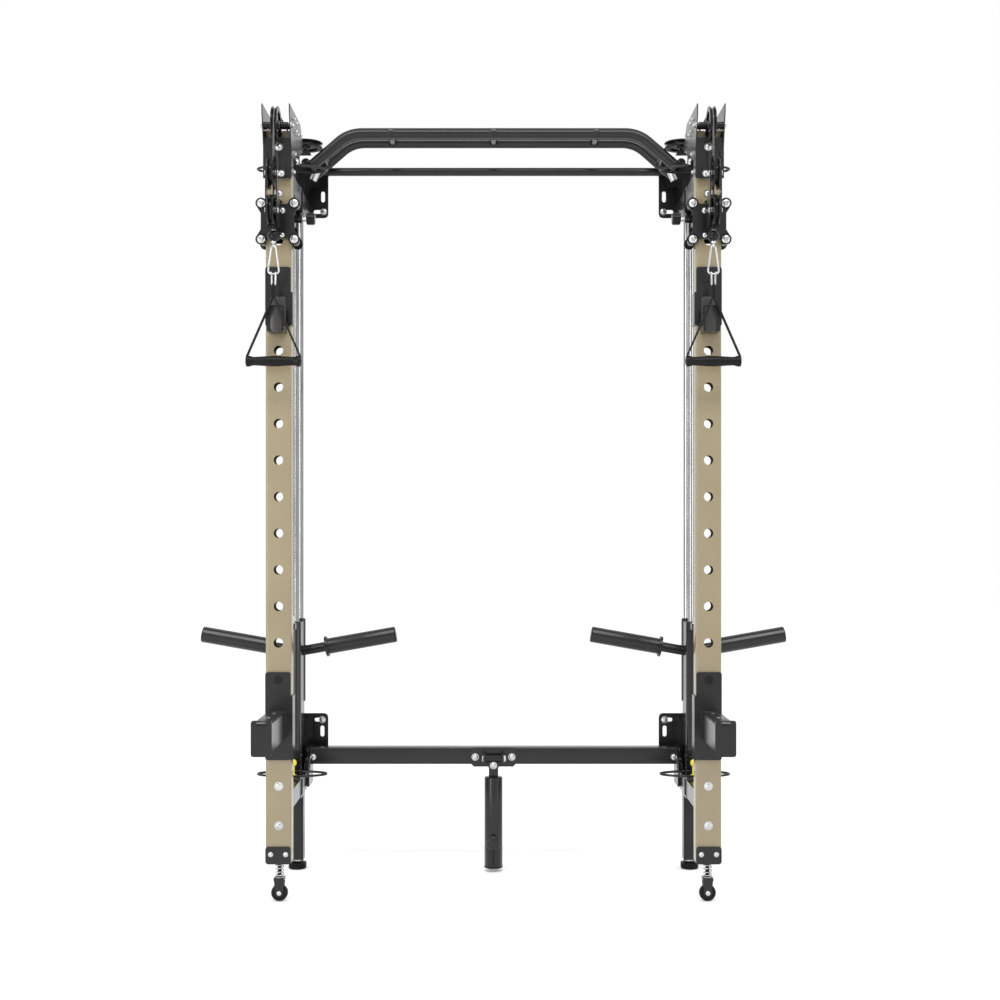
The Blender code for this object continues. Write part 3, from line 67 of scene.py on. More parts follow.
# Places repeated from the CAD, in metres
HALF_WIDTH = 0.588
FRONT_Y = -0.121
BACK_Y = -0.071
FOLD_Y = 0.164
ROD_FRONT_Y = 0.236
ROD_REAR_Y = 0.34
WALL_Y = 0.384
UPRIGHT_TOP = 2.11
UPRIGHT_BOTTOM = 0.11
FIRST_HOLE_Z = 0.51
HOLE_PITCH = 0.1
HOLE_COUNT = 15
TOP_ARM_Z = 1.992
LOWER_ARM_Z = 0.265
PULLEY_Z = 2.117
TOP_PULLEY_Y = -0.151
DROP_PULLEY_Y = 0.1207
WRAP = 0.0433
CABLE_RADIUS = 0.0027
SWIVEL_OUT = 0.002
SWIVEL_Y = -0.1943
TROLLEY_Z = 1.86
SWIVEL_PULLEY_Y = -0.2283
SWIVEL_PULLEY_Z = 1.87
GUIDE_PULLEY_Z = 1.968
ROLLER_X = 0.045
ROLLER_Z = 0.049
BALL_Z = 1.8074
BALL_RADIUS = 0.016
APEX_Z = 1.6759
SPLIT_Z = 1.641
GRIP_Z = 1.4719
GRIP_HALF = 0.0735
PIN_Z = 1.874
CARRIAGE_TOP = 0.747
HORN_Y = 0.312
HORN_Z = 0.666
HORN_START = 0.08
HORN_END = 0.296
HORN_RISE = math.radians(10)
HORN_RADIUS = 0.024
BAR_FRONT_Y = 0.229
BAR_REAR_Y = 0.334
BAR_Z = 2.197
BAR_RADIUS = 0.016
BAR_FLAT_HALF = 0.395
BAR_END_X = 0.546
BAR_END_Z = 2.096
GRIP_SPACING = 0.305
BEAM_Y = 0.309
BEAM_Z = 0.339
BEAM_HALF = 0.554
MINE_Y = 0.2607
MINE_PIN_Z = 0.335
MINE_TILT_Z = 0.316
SLEEVE_TOP = 0.281
SLEEVE_BOTTOM = 0.01
SLEEVE_KNOB_Z = 0.089
HOOK_Z = 1.71
SPOTTER_Z = 0.61
WHEEL_Z = 0.023

# The camera, level and square to the rack
CAMERA_DISTANCE = 4.0
CAMERA_HEIGHT = 1.019

# Directions
ACROSS = (1, 0, 0)
FORWARD = (0, -1, 0)
REARWARD = (0, 1, 0)
UP = (0, 0, 1)
DOWN = (0, 0, -1)


# ---------------------------------------------------------------- materials
def noise(tree, scale, detail, stretch=(1, 1, 1)):
    """Noise over the object's own space, in metres."""
    place = tree.nodes.new("ShaderNodeTexCoord")
    mapping = tree.nodes.new("ShaderNodeMapping")
    mapping.inputs["Scale"].default_value = stretch
    texture = tree.nodes.new("ShaderNodeTexNoise")
    texture.inputs["Scale"].default_value = scale
    texture.inputs["Detail"].default_value = detail
    tree.links.new(place.outputs["Object"], mapping.inputs["Vector"])
    tree.links.new(mapping.outputs["Vector"], texture.inputs["Vector"])
    return texture.outputs["Fac"]


def ramp(tree, source, low, high, start=0.35, stop=0.65):
    node = tree.nodes.new("ShaderNodeMapRange")
    node.inputs["From Min"].default_value = start
    node.inputs["From Max"].default_value = stop
    node.inputs["To Min"].default_value = low
    node.inputs["To Max"].default_value = high
    tree.links.new(source, node.inputs["Value"])
    return node.outputs["Result"]


def colour_mix(tree, factor, first, second):
    mix = tree.nodes.new("ShaderNodeMix")
    mix.data_type = "RGBA"
    mix.inputs["A"].default_value = (*first, 1)
    mix.inputs["B"].default_value = (*second, 1)
    tree.links.new(factor, mix.inputs["Factor"])
    return mix.outputs["Result"]


def math_node(tree, operation, first, second, third=None):
    """A sum or product; the first input is a link, the others are links or numbers."""
    node = tree.nodes.new("ShaderNodeMath")
    node.operation = operation
    tree.links.new(first, node.inputs[0])
    for socket, value in zip(node.inputs[1:], (second, third)):
        if isinstance(value, float):
            socket.default_value = value
        elif value is not None:
            tree.links.new(value, socket)
    return node.outputs[0]


def relief(tree, shader, height, strength, distance):
    bump_node = tree.nodes.new("ShaderNodeBump")
    bump_node.inputs["Strength"].default_value = strength
    bump_node.inputs["Distance"].default_value = distance
    tree.links.new(height, bump_node.inputs["Height"])
    tree.links.new(bump_node.outputs["Normal"], shader.inputs["Normal"])


def surface(name, dark, light, rough, metallic=0.0, grain=900, bump=0.05, patch=7, specular=0.5,
            stretch=(1, 1, 1), ior=1.5):
    """A finish with patchy colour, uneven gloss and a fine grain in relief."""
    made = bpy.data.materials.new(name)
    made.use_nodes = True
    tree = made.node_tree
    shader = tree.nodes["Principled BSDF"]
    shader.inputs["Metallic"].default_value = metallic
    shader.inputs["Specular IOR Level"].default_value = specular
    shader.inputs["IOR"].default_value = ior
    broad = noise(tree, patch, 4)
    fine = noise(tree, grain, 3, stretch)
    mixed = math_node(tree, "MULTIPLY_ADD", fine, 0.5, math_node(tree, "MULTIPLY", broad, 0.5))
    tree.links.new(colour_mix(tree, ramp(tree, mixed, 0, 1), dark, light), shader.inputs["Base Color"])
    tree.links.new(ramp(tree, mixed, rough[0], rough[1]), shader.inputs["Roughness"])
    relief(tree, shader, fine, bump, 0.0006)
    return made


def woven(name, dark, light, rough, pitch):
    """Nylon webbing: two crossed rows of threads in relief."""
    made = surface(name, dark, light, rough, grain=2600, bump=0.1, specular=0.14)
    tree = made.node_tree
    shader = tree.nodes["Principled BSDF"]
    place = tree.nodes.new("ShaderNodeTexCoord")
    threads = []
    for direction in ("Y", "Z"):
        wave = tree.nodes.new("ShaderNodeTexWave")
        wave.bands_direction = direction
        wave.inputs["Scale"].default_value = pitch
        tree.links.new(place.outputs["Object"], wave.inputs["Vector"])
        threads.append(wave.outputs["Fac"])
    relief(tree, shader, math_node(tree, "MULTIPLY", *threads), 0.5, 0.0008)
    return made


MATERIALS = {
    "beige_paint": surface(
        "beige_powder_coat", (0.217, 0.177, 0.104), (0.241, 0.198, 0.118), (0.18, 0.3), grain=1100,
        bump=0.03,
        ior=1.62,
    ),
    "black_paint": surface(
        "black_powder_coat", (0.006, 0.006, 0.0062), (0.0125, 0.0125, 0.013), (0.16, 0.28), grain=1500,
        bump=0.03,
        ior=1.4,
    ),
    "chrome": surface(
        "hard_chrome", (0.26, 0.26, 0.26), (0.37, 0.37, 0.37), (0.06, 0.14), 1.0, grain=500, bump=0.01,
        stretch=(1, 1, 0.02),
    ),
    "zinc_steel": surface(
        "zinc_plated_steel", (0.44, 0.44, 0.45), (0.66, 0.66, 0.66), (0.16, 0.3), 1.0, grain=1400, bump=0.03
    ),
    "black_rubber": surface(
        "black_rubber", (0.004, 0.004, 0.004), (0.009, 0.009, 0.009), (0.26, 0.4), grain=2200, bump=0.08,
        specular=0.14,
    ),
    "black_plastic": surface(
        "black_moulded_plastic", (0.004, 0.004, 0.0045), (0.009, 0.009, 0.0095), (0.14, 0.24), grain=1800,
        bump=0.03,
        specular=0.22,
    ),
    "yellow_plastic": surface(
        "yellow_moulded_plastic", (0.66, 0.56, 0.03), (0.8, 0.7, 0.07), (0.3, 0.4), grain=1500, bump=0.05
    ),
    "cable_coat": surface(
        "nylon_cable_coat", (0.06, 0.06, 0.062), (0.11, 0.11, 0.112), (0.14, 0.24), grain=900, bump=0.15,
        stretch=(1, 1, 0.3),
    ),
}
WEBBING = woven("black_webbing", (0.006, 0.006, 0.006), (0.016, 0.016, 0.016), (0.45, 0.6), 700)
LINER = surface("grey_liner_plastic", (0.016, 0.016, 0.015), (0.028, 0.027, 0.025), (0.24, 0.36), grain=900)

for cad_node in frame["nodes"].values():
    for material_slot in cad_node.material_slots:
        material_slot.material = MATERIALS[material_slot.material.name.split(".")[0]]


# ---------------------------------------------------------------- shapes, each added to one bmesh
def frame_for(direction):
    """A rotation that takes +Z to the direction."""
    return Vector(direction).normalized().to_track_quat("Z", "Y").to_matrix().to_4x4()


def turned(profile, origin, axis=UP, steps=32):
    """A profile of (radius, height) points turned about an axis through the origin."""
    def build(bm):
        matrix = Matrix.Translation(origin) @ frame_for(axis)
        rings = []
        for radius, height in profile:
            if radius < 1e-6:
                rings.append([bm.verts.new(matrix @ Vector((0, 0, height)))])
                continue
            ring = []
            for step in range(steps):
                angle = 2 * math.pi * (step + 0.5) / steps
                point = Vector((radius * math.cos(angle), radius * math.sin(angle), height))
                ring.append(bm.verts.new(matrix @ point))
            rings.append(ring)
        closed = profile[0][0] > 1e-6
        pairs = list(zip(rings, rings[1:]))
        if closed:
            pairs.append((rings[-1], rings[0]))
        for first, second in pairs:
            for step in range(steps):
                after = (step + 1) % steps
                if len(first) == 1 and len(second) > 1:
                    bm.faces.new((first[0], second[step], second[after]))
                elif len(second) == 1 and len(first) > 1:
                    bm.faces.new((first[after], first[step], second[0]))
                elif len(first) > 1:
                    bm.faces.new((first[step], second[step], second[after], first[after]))
    return build


def tube_along(points, radius, sides=12, closed=False):
    """A round tube along a line of points; the radius may be one number or one per point."""
    points = [Vector(p) for p in points]
    radii = radius if isinstance(radius, (list, tuple)) else [radius] * len(points)

    def build(bm):
        count = len(points)
        tangents = []
        for index in range(count):
            if closed:
                tangent = points[(index + 1) % count] - points[index - 1]
            else:
                tangent = points[min(index + 1, count - 1)] - points[max(index - 1, 0)]
            tangents.append(tangent.normalized())
        side = tangents[0].orthogonal().normalized()
        rings = []
        for index, tangent in enumerate(tangents):
            side = (side - tangent * side.dot(tangent)).normalized()
            up = tangent.cross(side)
            ring = []
            for step in range(sides):
                angle = 2 * math.pi * step / sides
                offset = side * math.cos(angle) + up * math.sin(angle)
                ring.append(bm.verts.new(points[index] + offset * radii[index]))
            rings.append(ring)
        pairs = list(zip(rings, rings[1:]))
        if closed:
            pairs.append((rings[-1], rings[0]))
        for first, second in pairs:
            for step in range(sides):
                after = (step + 1) % sides
                bm.faces.new((first[step], first[after], second[after], second[step]))
        if not closed:
            bm.faces.new(rings[0][::-1])
            bm.faces.new(rings[-1])
    return build


def ribbon(points, width_axis, width, thickness):
    """A flat strap along a line of points, with its width along one axis."""
    points = [Vector(p) for p in points]
    across = Vector(width_axis).normalized()
    section = [(-1, -0.6), (-0.9, -1), (0.9, -1), (1, -0.6), (1, 0.6), (0.9, 1), (-0.9, 1), (-1, 0.6)]

    def build(bm):
        rings = []
        for index, point in enumerate(points):
            tangent = points[min(index + 1, len(points) - 1)] - points[max(index - 1, 0)]
            normal = tangent.cross(across).normalized()
            ring = []
            for u, v in section:
                ring.append(bm.verts.new(point + across * u * width / 2 + normal * v * thickness / 2))
            rings.append(ring)
        for first, second in zip(rings, rings[1:]):
            for step in range(8):
                after = (step + 1) % 8
                bm.faces.new((first[step], first[after], second[after], second[step]))
        bm.faces.new(rings[0][::-1])
        bm.faces.new(rings[-1])
    return build


def brick(low, high, bevel=0.0012):
    """A block between two corners, with rounded edges."""
    low, high = Vector(low), Vector(high)

    def build(bm):
        made = bmesh.ops.create_cube(bm, size=1.0)["verts"]
        size = Vector(abs(high[i] - low[i]) for i in range(3))
        bmesh.ops.scale(bm, vec=size, verts=made)
        bmesh.ops.translate(bm, vec=(low + high) / 2, verts=made)
        edges = list({edge for vert in made for edge in vert.link_edges})
        bmesh.ops.bevel(bm, geom=edges, offset=bevel, segments=2, affect="EDGES", profile=0.5)
    return build


def outline_plate(outline, low, high, axis="Y", bevel=0.0008):
    """A plate: a flat outline pushed from one level to another along an axis, with softened edges."""
    def build(bm):
        def point(u, v, w):
            return Vector((u, w, v)) if axis == "Y" else Vector((w, u, v))
        made = [bm.verts.new(point(u, v, low)) for u, v in outline]
        face = bm.faces.new(made)
        pushed = bmesh.ops.extrude_face_region(bm, geom=[face])
        verts = [item for item in pushed["geom"] if isinstance(item, bmesh.types.BMVert)]
        shift = Vector((0, high - low, 0)) if axis == "Y" else Vector((high - low, 0, 0))
        bmesh.ops.translate(bm, vec=shift, verts=verts)
        rims = [
            edge for edge in {e for v in made + verts for e in v.link_edges}
            if (edge.verts[0] in made) == (edge.verts[1] in made)
        ]
        bmesh.ops.bevel(bm, geom=rims, offset=bevel, segments=2, affect="EDGES", profile=0.5)
    return build


def rounded(width, height, radius, centre=(0, 0), steps=5):
    """The outline of a rectangle with round corners."""
    points = []
    for turn, (u, v) in enumerate(((1, 1), (-1, 1), (-1, -1), (1, -1))):
        for step in range(steps + 1):
            angle = math.pi / 2 * (turn + step / steps)
            points.append((
                centre[0] + u * (width / 2 - radius) + radius * math.cos(angle),
                centre[1] + v * (height / 2 - radius) + radius * math.sin(angle),
            ))
    return points


def piece(name, material, body, *shapes, stands_for=(), slot=None, sharp=35):
    """One piece of the look: its shapes in one mesh, riding on a body."""
    bm = bmesh.new()
    for shape in shapes:
        shape(bm)
    bmesh.ops.recalc_face_normals(bm, faces=bm.faces)
    mesh = bpy.data.meshes.new(name)
    bm.to_mesh(mesh)
    bm.free()
    chosen = MATERIALS[material] if isinstance(material, str) else material
    mesh.materials.append(chosen)
    mesh.shade_smooth()
    mesh.set_sharp_from_angle(angle=math.radians(sharp))
    obj = bpy.data.objects.new(name, mesh)
    bpy.context.scene.collection.objects.link(obj)
    if stands_for:
        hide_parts(*stands_for)
    if body:
        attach(obj, body)
    return obj


def button_head(point, direction, radius, height=None, washer=1.22):
    """A domed socket screw on its washer."""
    h = height or radius * 0.55
    rim = radius * 0.12
    profile = [
        (0, h * 0.55), (radius * 0.34, h * 0.55), (radius * 0.4, h * 0.98), (radius * 0.62, h * 0.9),
        (radius * 0.86, h * 0.64), (radius, h * 0.3), (radius, rim), (radius * washer, rim),
        (radius * washer, 0), (0, 0),
    ]
    return turned(profile, point, direction, 28)


def hex_head(point, direction, radius, height=None, washer=1.25, stud=0.0):
    """A six-sided head or nut on its washer, with a threaded end where the stud is longer."""
    h = height or radius * 0.72
    rim = radius * 0.12
    plain = [(0, rim), (radius * washer, rim), (radius * washer, 0), (0, 0)]
    sides = [(0, h), (radius * 0.8, h), (radius, h * 0.86), (radius, rim), (0, rim)]
    parts = [turned(plain, point, direction, 24), turned(sides, point, direction, 6)]
    if stud:
        parts.append(turned(
            [(0, h + stud), (radius * 0.44, h + stud), (radius * 0.5, h + stud * 0.7),
             (radius * 0.5, h * 0.9),
             (0, h * 0.9)], point, direction, 16,
        ))

    def build(bm):
        for part in parts:
            part(bm)
    return build


def arc_points(centre, radius, start, stop, steps, x):
    """Points of an arc in the plane of Y and Z."""
    made = []
    for step in range(steps + 1):
        angle = start + (stop - start) * step / steps
        made.append(Vector((x, centre[0] + radius * math.cos(angle), centre[1] + radius * math.sin(angle))))
    return made


def line_points(first, last, steps):
    first, last = Vector(first), Vector(last)
    return [first.lerp(last, step / steps) for step in range(steps + 1)]


class Side:
    """One side of the rack: sign -1 is the left side and +1 the right side."""

    def __init__(self, sign, label):
        self.sign = sign
        self.label = label
        self.gate = f"{label}_gate"

    def x(self, inward):
        return self.sign * (HALF_WIDTH - inward)

    def at(self, inward, y, z):
        return Vector((self.x(inward), y, z))

    def name(self, what):
        return f"{self.label}_{what}"

    def piece(self, what, material, body, *shapes, stands_for=(), **options):
        """A piece of this side, standing for nodes of this side."""
        nodes = [self.name(node) for node in stands_for]
        return piece(self.name(what), material, body, *shapes, stands_for=nodes, **options)

    def body(self, what):
        return f"{self.label}_{what}_body"

    @property
    def inwards(self):
        return Vector((-self.sign, 0, 0))


# ---------------------------------------------------------------- uprights and arms
def upright_skin(side):
    """The post as a rounded tube with its row of round holes."""
    height = UPRIGHT_TOP - UPRIGHT_BOTTOM
    outer = rounded(0.07, 0.05, 0.005)
    inner = rounded(0.064, 0.044, 0.003)

    def build(bm):
        rings = []
        for outline, level in ((outer, 0), (outer, height), (inner, height), (inner, 0)):
            rings.append([
                bm.verts.new((side.x(0) + u, FRONT_Y + 0.025 + v, UPRIGHT_BOTTOM + level)) for u, v in outline
            ])
        count = len(outer)
        for first, second in zip(rings, rings[1:] + rings[:1]):
            for step in range(count):
                after = (step + 1) % count
                bm.faces.new((first[step], first[after], second[after], second[step]))
    post = side.piece("upright_skin", "beige_paint", None, build, stands_for=["upright"])
    cutters = []
    for number in range(HOLE_COUNT):
        centre = side.at(0, FRONT_Y - 0.02, FIRST_HOLE_Z + HOLE_PITCH * number)
        cutters.append(turned([(0, 0.09), (0.013, 0.09), (0.013, 0), (0, 0)], centre, REARWARD, 40))
    for level in (PIN_Z - 0.05, PIN_Z):
        start = side.at(0, FRONT_Y + 0.025, level)
        cutters.append(turned([(0, 0.06), (0.0062, 0.06), (0.0062, 0), (0, 0)], start, side.inwards, 24))
    notch = brick(
        side.at(-SWIVEL_OUT - 0.013, FRONT_Y - 0.01, PULLEY_Z - 0.053),
        side.at(-SWIVEL_OUT + 0.013, FRONT_Y + 0.025, UPRIGHT_TOP + 0.01), 0.0002,
    )
    tool = side.piece("hole_cutter", "black_paint", None, *cutters, notch)
    cut = post.modifiers.new("holes", "BOOLEAN")
    cut.operation = "DIFFERENCE"
    cut.solver = "EXACT"
    cut.object = tool
    bpy.context.view_layer.update()
    evaluated = post.evaluated_get(bpy.context.evaluated_depsgraph_get())
    finished = bpy.data.meshes.new_from_object(evaluated)
    post.modifiers.clear()
    post.data = finished
    finished.materials.clear()
    finished.materials.append(MATERIALS["beige_paint"])
    for polygon in finished.polygons:
        polygon.material_index = 0
    finished.shade_smooth()
    finished.set_sharp_from_angle(angle=math.radians(35))
    bpy.data.objects.remove(tool)
    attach(post, side.gate)


def upright_bolts(side):
    heads = []
    nuts = []
    for level in (LOWER_ARM_Z + 0.054, LOWER_ARM_Z - 0.054, TOP_ARM_Z - 0.054):
        heads.append(button_head(side.at(0.001, FRONT_Y, level), FORWARD, 0.01, 0.005))
    for level in (LOWER_ARM_Z + 0.054, LOWER_ARM_Z - 0.054, TOP_ARM_Z + 0.054):
        nuts.append(hex_head(side.at(0.001, BACK_Y + 0.0064, level), REARWARD, 0.0095, stud=0.004))
    side.piece("upright_bolts", "zinc_steel", side.gate, *heads, *nuts)
    small = [button_head(side.at(u, FRONT_Y - 0.0045, 0.133), FORWARD, 0.0056) for u in (-0.0205, 0.0205)]
    side.piece("caster_bracket_bolts", "zinc_steel", side.gate, *small)


def weld_bead(centre, half_width, half_height):
    """A weld round a square tube where it meets a plate across Y."""
    outline = rounded(2 * half_width, 2 * half_height, 0.004, steps=4)
    points = [Vector((centre.x + u, centre.y, centre.z + v)) for u, v in outline]
    return tube_along(points, 0.0022, 8, closed=True)


def arm_details(side):
    for level, label in ((TOP_ARM_Z, "top"), (LOWER_ARM_Z, "lower")):
        side.piece(
            f"{label}_arm_welds", "black_paint", side.gate,
            weld_bead(side.at(0, BACK_Y + 0.0068, level), 0.0255, 0.0255),
        )


# ---------------------------------------------------------------- pulleys
def pulley_shape(centre, axis, radius, width, groove, bore=0.0056, hub=0.011):
    """A grooved wheel with a dished web and a raised hub."""
    edge = width / 2
    lip = edge * 0.42
    profile = [
        (bore, edge + 0.0008), (hub, edge + 0.0008), (hub + 0.0015, edge * 0.55),
        (groove - 0.007, edge * 0.55),
        (groove - 0.004, edge * 0.96), (radius - 0.0018, edge), (radius, edge - 0.0014),
        (radius - 0.0008, lip + 0.0014),
        (groove + 0.0026, lip * 0.95), (groove + 0.0004, lip * 0.5), (groove, 0),
        (groove + 0.0004, -lip * 0.5), (groove + 0.0026, -lip * 0.95), (radius - 0.0008, -lip - 0.0014),
        (radius, -edge + 0.0014), (radius - 0.0018, -edge), (groove - 0.004, -edge * 0.96),
        (groove - 0.007, -edge * 0.55), (hub + 0.0015, -edge * 0.55), (hub, -edge - 0.0008),
        (bore, -edge - 0.0008),
    ]
    return turned(profile, centre, axis, 56)


def bearing_shape(centre, axis, width, radius=0.0098):
    """The steel bearing that shows on both faces of a pulley."""
    half = width / 2 + 0.0012
    inner = 0.0052
    profile = [
        (inner, half), (inner + 0.0016, half), (inner + 0.002, half - 0.0006),
        (radius - 0.0016, half - 0.0006),
        (radius - 0.0012, half - 0.0001), (radius, half - 0.0003), (radius, -half + 0.0003),
        (radius - 0.0012, -half + 0.0001), (radius - 0.0016, -half + 0.0006),
        (inner + 0.002, -half + 0.0006),
        (inner + 0.0016, -half), (inner, -half),
    ]
    return turned(profile, centre, axis, 32)


def add_pulley(side, label, centre, axis, radius, width, groove, stands_for, body):
    side.piece(
        f"{label}_wheel", "black_plastic", body, pulley_shape(centre, axis, radius, width, groove),
        stands_for=stands_for,
    )
    side.piece(f"{label}_bearing", "zinc_steel", body, bearing_shape(centre, axis, width))


def pulleys(side):
    big = (0.05, 0.018, 0.04)
    add_pulley(
        side, "top_pulley", side.at(-SWIVEL_OUT, TOP_PULLEY_Y, PULLEY_Z), ACROSS, *big,
        ["top_pulley"], side.body("top_pulley"),
    )
    add_pulley(
        side, "drop_pulley", side.at(0, DROP_PULLEY_Y, PULLEY_Z), ACROSS, *big,
        ["drop_pulley"], side.body("drop_pulley"),
    )
    add_pulley(
        side, "idler_pulley", side.at(0.028, 0.249, 2.166), UP, *big,
        ["idler_pulley"], side.body("idler_pulley"),
    )
    small = (0.04, 0.018, 0.0302)
    add_pulley(
        side, "swivel_pulley", side.at(-SWIVEL_OUT, SWIVEL_PULLEY_Y, SWIVEL_PULLEY_Z), ACROSS, *small,
        ["swivel_pulley"], side.body("swivel_pulley"),
    )
    add_pulley(
        side, "guide_pulley", side.at(-SWIVEL_OUT, SWIVEL_PULLEY_Y, GUIDE_PULLEY_Z), ACROSS,
        0.044, 0.018, 0.0302, (), side.body("swivel_bracket"),
    )


def pulley_bracket_details(side):
    """Axle heads, spacers and the small screws of the bracket over the upright's top."""
    plate_x = 0.0386
    metal = []
    places = [(TOP_PULLEY_Y, PULLEY_Z, 0.0085), (FRONT_Y + 0.016, UPRIGHT_TOP + 0.036, 0.0062),
              (FRONT_Y + 0.056, UPRIGHT_TOP + 0.036, 0.0062), (FRONT_Y + 0.051, UPRIGHT_TOP + 0.012, 0.0062),
              (FRONT_Y + 0.086, UPRIGHT_TOP + 0.012, 0.0062), (FRONT_Y + 0.15, UPRIGHT_TOP + 0.03, 0.0075),
              (FRONT_Y + 0.022, UPRIGHT_TOP - 0.058, 0.0075),
              (FRONT_Y + 0.004, UPRIGHT_TOP - 0.112, 0.0075)]
    for y, z, radius in places:
        metal.append(hex_head(side.at(plate_x, y, z), side.inwards, radius, stud=0.003))
        metal.append(button_head(side.at(-plate_x, y, z), -side.inwards, radius))
    metal.append(button_head(side.at(0.004, FRONT_Y - 0.0203, 2.06), FORWARD, 0.0088))
    metal.append(button_head(side.at(0.011, FRONT_Y - 0.0203, 1.988), FORWARD, 0.0078))
    side.piece("pulley_bracket_bolts", "zinc_steel", side.gate, *metal)
    spacers = []
    for way in (-1, 1):
        first = side.at(-SWIVEL_OUT + way * 0.0112, TOP_PULLEY_Y, PULLEY_Z)
        length = 0.0355 - 0.0112 - way * SWIVEL_OUT
        direction = side.inwards * way
        profile = [(0.0052, length - 0.0005), (0.0085, length - 0.0005), (0.0085, 0.0008), (0.0052, 0.0008)]
        spacers.append(turned(profile, first, direction, 24))
    side.piece("top_axle_spacers", "black_plastic", side.gate, *spacers)
    guard = []
    for y, z in ((FRONT_Y + 0.045, UPRIGHT_TOP + 0.025), (FRONT_Y + 0.15, UPRIGHT_TOP + 0.03)):
        guard.append(turned(
            [
                (0.006, 0.034), (0.0088, 0.034), (0.0092, 0.03), (0.0092, -0.03), (0.0088, -0.034),
                (0.006, -0.034)
            ],
            side.at(0, y, z), ACROSS, 24,
        ))
    side.piece("bracket_cross_spacers", "black_plastic", side.gate, *guard)
    yoke = []
    for way in (-1, 1):
        yoke.append(button_head(side.at(way * 0.0152, DROP_PULLEY_Y, PULLEY_Z), side.inwards * way, 0.008))
    side.piece("drop_axle_bolts", "zinc_steel", side.gate, *yoke)


# ---------------------------------------------------------------- trolley, swivel and handle
def trolley_details(side):
    front, rear = FRONT_Y - 0.0142, BACK_Y + 0.0142
    rings = []
    heads = []
    for across in (-1, 1):
        for up in (-1, 1):
            centre = side.at(across * ROLLER_X, front, TROLLEY_Z + up * ROLLER_Z)
            rings.append(turned(
                [(0.01, 0.0022), (0.0148, 0.0022), (0.0152, 0.0012), (0.0152, 0.0), (0.01, 0.0)],
                centre, FORWARD, 32,
            ))
            heads.append(button_head(centre, FORWARD, 0.0118, 0.0062, 1.0))
            back = side.at(across * ROLLER_X, rear, TROLLEY_Z + up * ROLLER_Z)
            heads.append(hex_head(back, REARWARD, 0.0092, stud=0.003))
    heads.append(button_head(side.at(0.0125, front, TROLLEY_Z + 0.029), FORWARD, 0.0075))
    heads.append(button_head(side.at(0.0125, front, TROLLEY_Z - 0.038), FORWARD, 0.006))
    side.piece("trolley_rings", "black_rubber", side.body("trolley"), *rings)
    side.piece("trolley_bolts", "zinc_steel", side.body("trolley"), *heads)
    rollers = []
    for across in (-1, 1):
        for up in (-1, 1):
            centre = side.at(across * ROLLER_X, (front + rear) / 2, TROLLEY_Z + up * ROLLER_Z)
            rollers.append(turned(
                [
                    (0.0086, 0.026), (0.0095, 0.026), (0.0098, 0.025), (0.0098, -0.025), (0.0095, -0.026),
                    (0.0086, -0.026)
                ],
                centre, REARWARD, 28,
            ))
    side.piece("trolley_rollers", "black_plastic", side.body("trolley"), *rollers)


def pop_pin(side):
    """Knurled knob on a steel pin."""
    start = 0.035 + 0.0006
    knob = 0.0735
    base = side.at(knob, FRONT_Y + 0.025, PIN_Z)
    profile = [(0, 0.024), (0.013, 0.024), (0.0155, 0.022)]
    for ridge in range(5):
        level = 0.02 - ridge * 0.0034
        profile += [
            (0.0165, level), (0.0165, level - 0.0018), (0.0157, level - 0.0022), (0.0157, level - 0.003)
        ]
    profile += [(0.015, 0.0012), (0.01, 0.0), (0, 0)]
    side.piece(
        "pop_pin_knob", "black_plastic", side.body("trolley_pin"), turned(profile, base, side.inwards, 32),
        stands_for=["trolley_pin"],
    )
    length = knob - start + 0.002
    shaft = [(0, length), (0.005, length), (0.005, 0.0015), (0.0035, 0), (0, 0)]
    side.piece(
        "pop_pin_shaft", "zinc_steel", side.body("trolley_pin"),
        turned(shaft, side.at(start, FRONT_Y + 0.025, PIN_Z), side.inwards, 20),
    )


def swivel_details(side):
    x = -SWIVEL_OUT
    heads = []
    for level in (SWIVEL_PULLEY_Z, GUIDE_PULLEY_Z):
        for way in (-1, 1):
            heads.append(button_head(
                side.at(x + way * 0.0161, SWIVEL_PULLEY_Y, level), side.inwards * way, 0.0075, 0.003
            ))
    side.piece("swivel_bolts", "zinc_steel", side.body("swivel_bracket"), *heads)
    spacers = []
    for level in (SWIVEL_PULLEY_Z, GUIDE_PULLEY_Z):
        for way in (-1, 1):
            spacers.append(turned(
                [(0.0052, 0.0024), (0.0078, 0.0024), (0.0078, 0), (0.0052, 0)],
                side.at(x + way * 0.0104, SWIVEL_PULLEY_Y, level), side.inwards * way, 20,
            ))
    side.piece("swivel_spacers", "zinc_steel", side.body("swivel_bracket"), *spacers)


def smooth_loop(corners, steps=4):
    """A closed curve through the corners."""
    count = len(corners)
    points = []
    for index in range(count):
        before, first = corners[index - 1], corners[index]
        second, after = corners[(index + 1) % count], corners[(index + 2) % count]
        for step in range(steps):
            t = step / steps
            points.append(0.5 * (
                2 * first + (second - before) * t + (2 * before - 5 * first + 4 * second - after) * t ** 2
                + (3 * first - before - 3 * second + after) * t ** 3
            ))
    return points


def snap_outline(centre):
    """The outline of a snap hook: narrow at the top and wide near the bottom."""
    half = [
        (0, 37.5), (4.5, 35), (6.8, 29), (8.6, 15), (10.6, 0), (12.6, -15), (14.2, -27), (12.6, -34),
        (6, -37.5)
    ]
    ring = half + [(-u, v) for u, v in half[:0:-1]]
    return smooth_loop([centre + Vector((u / 1000, 0, v / 1000)) for u, v in ring])


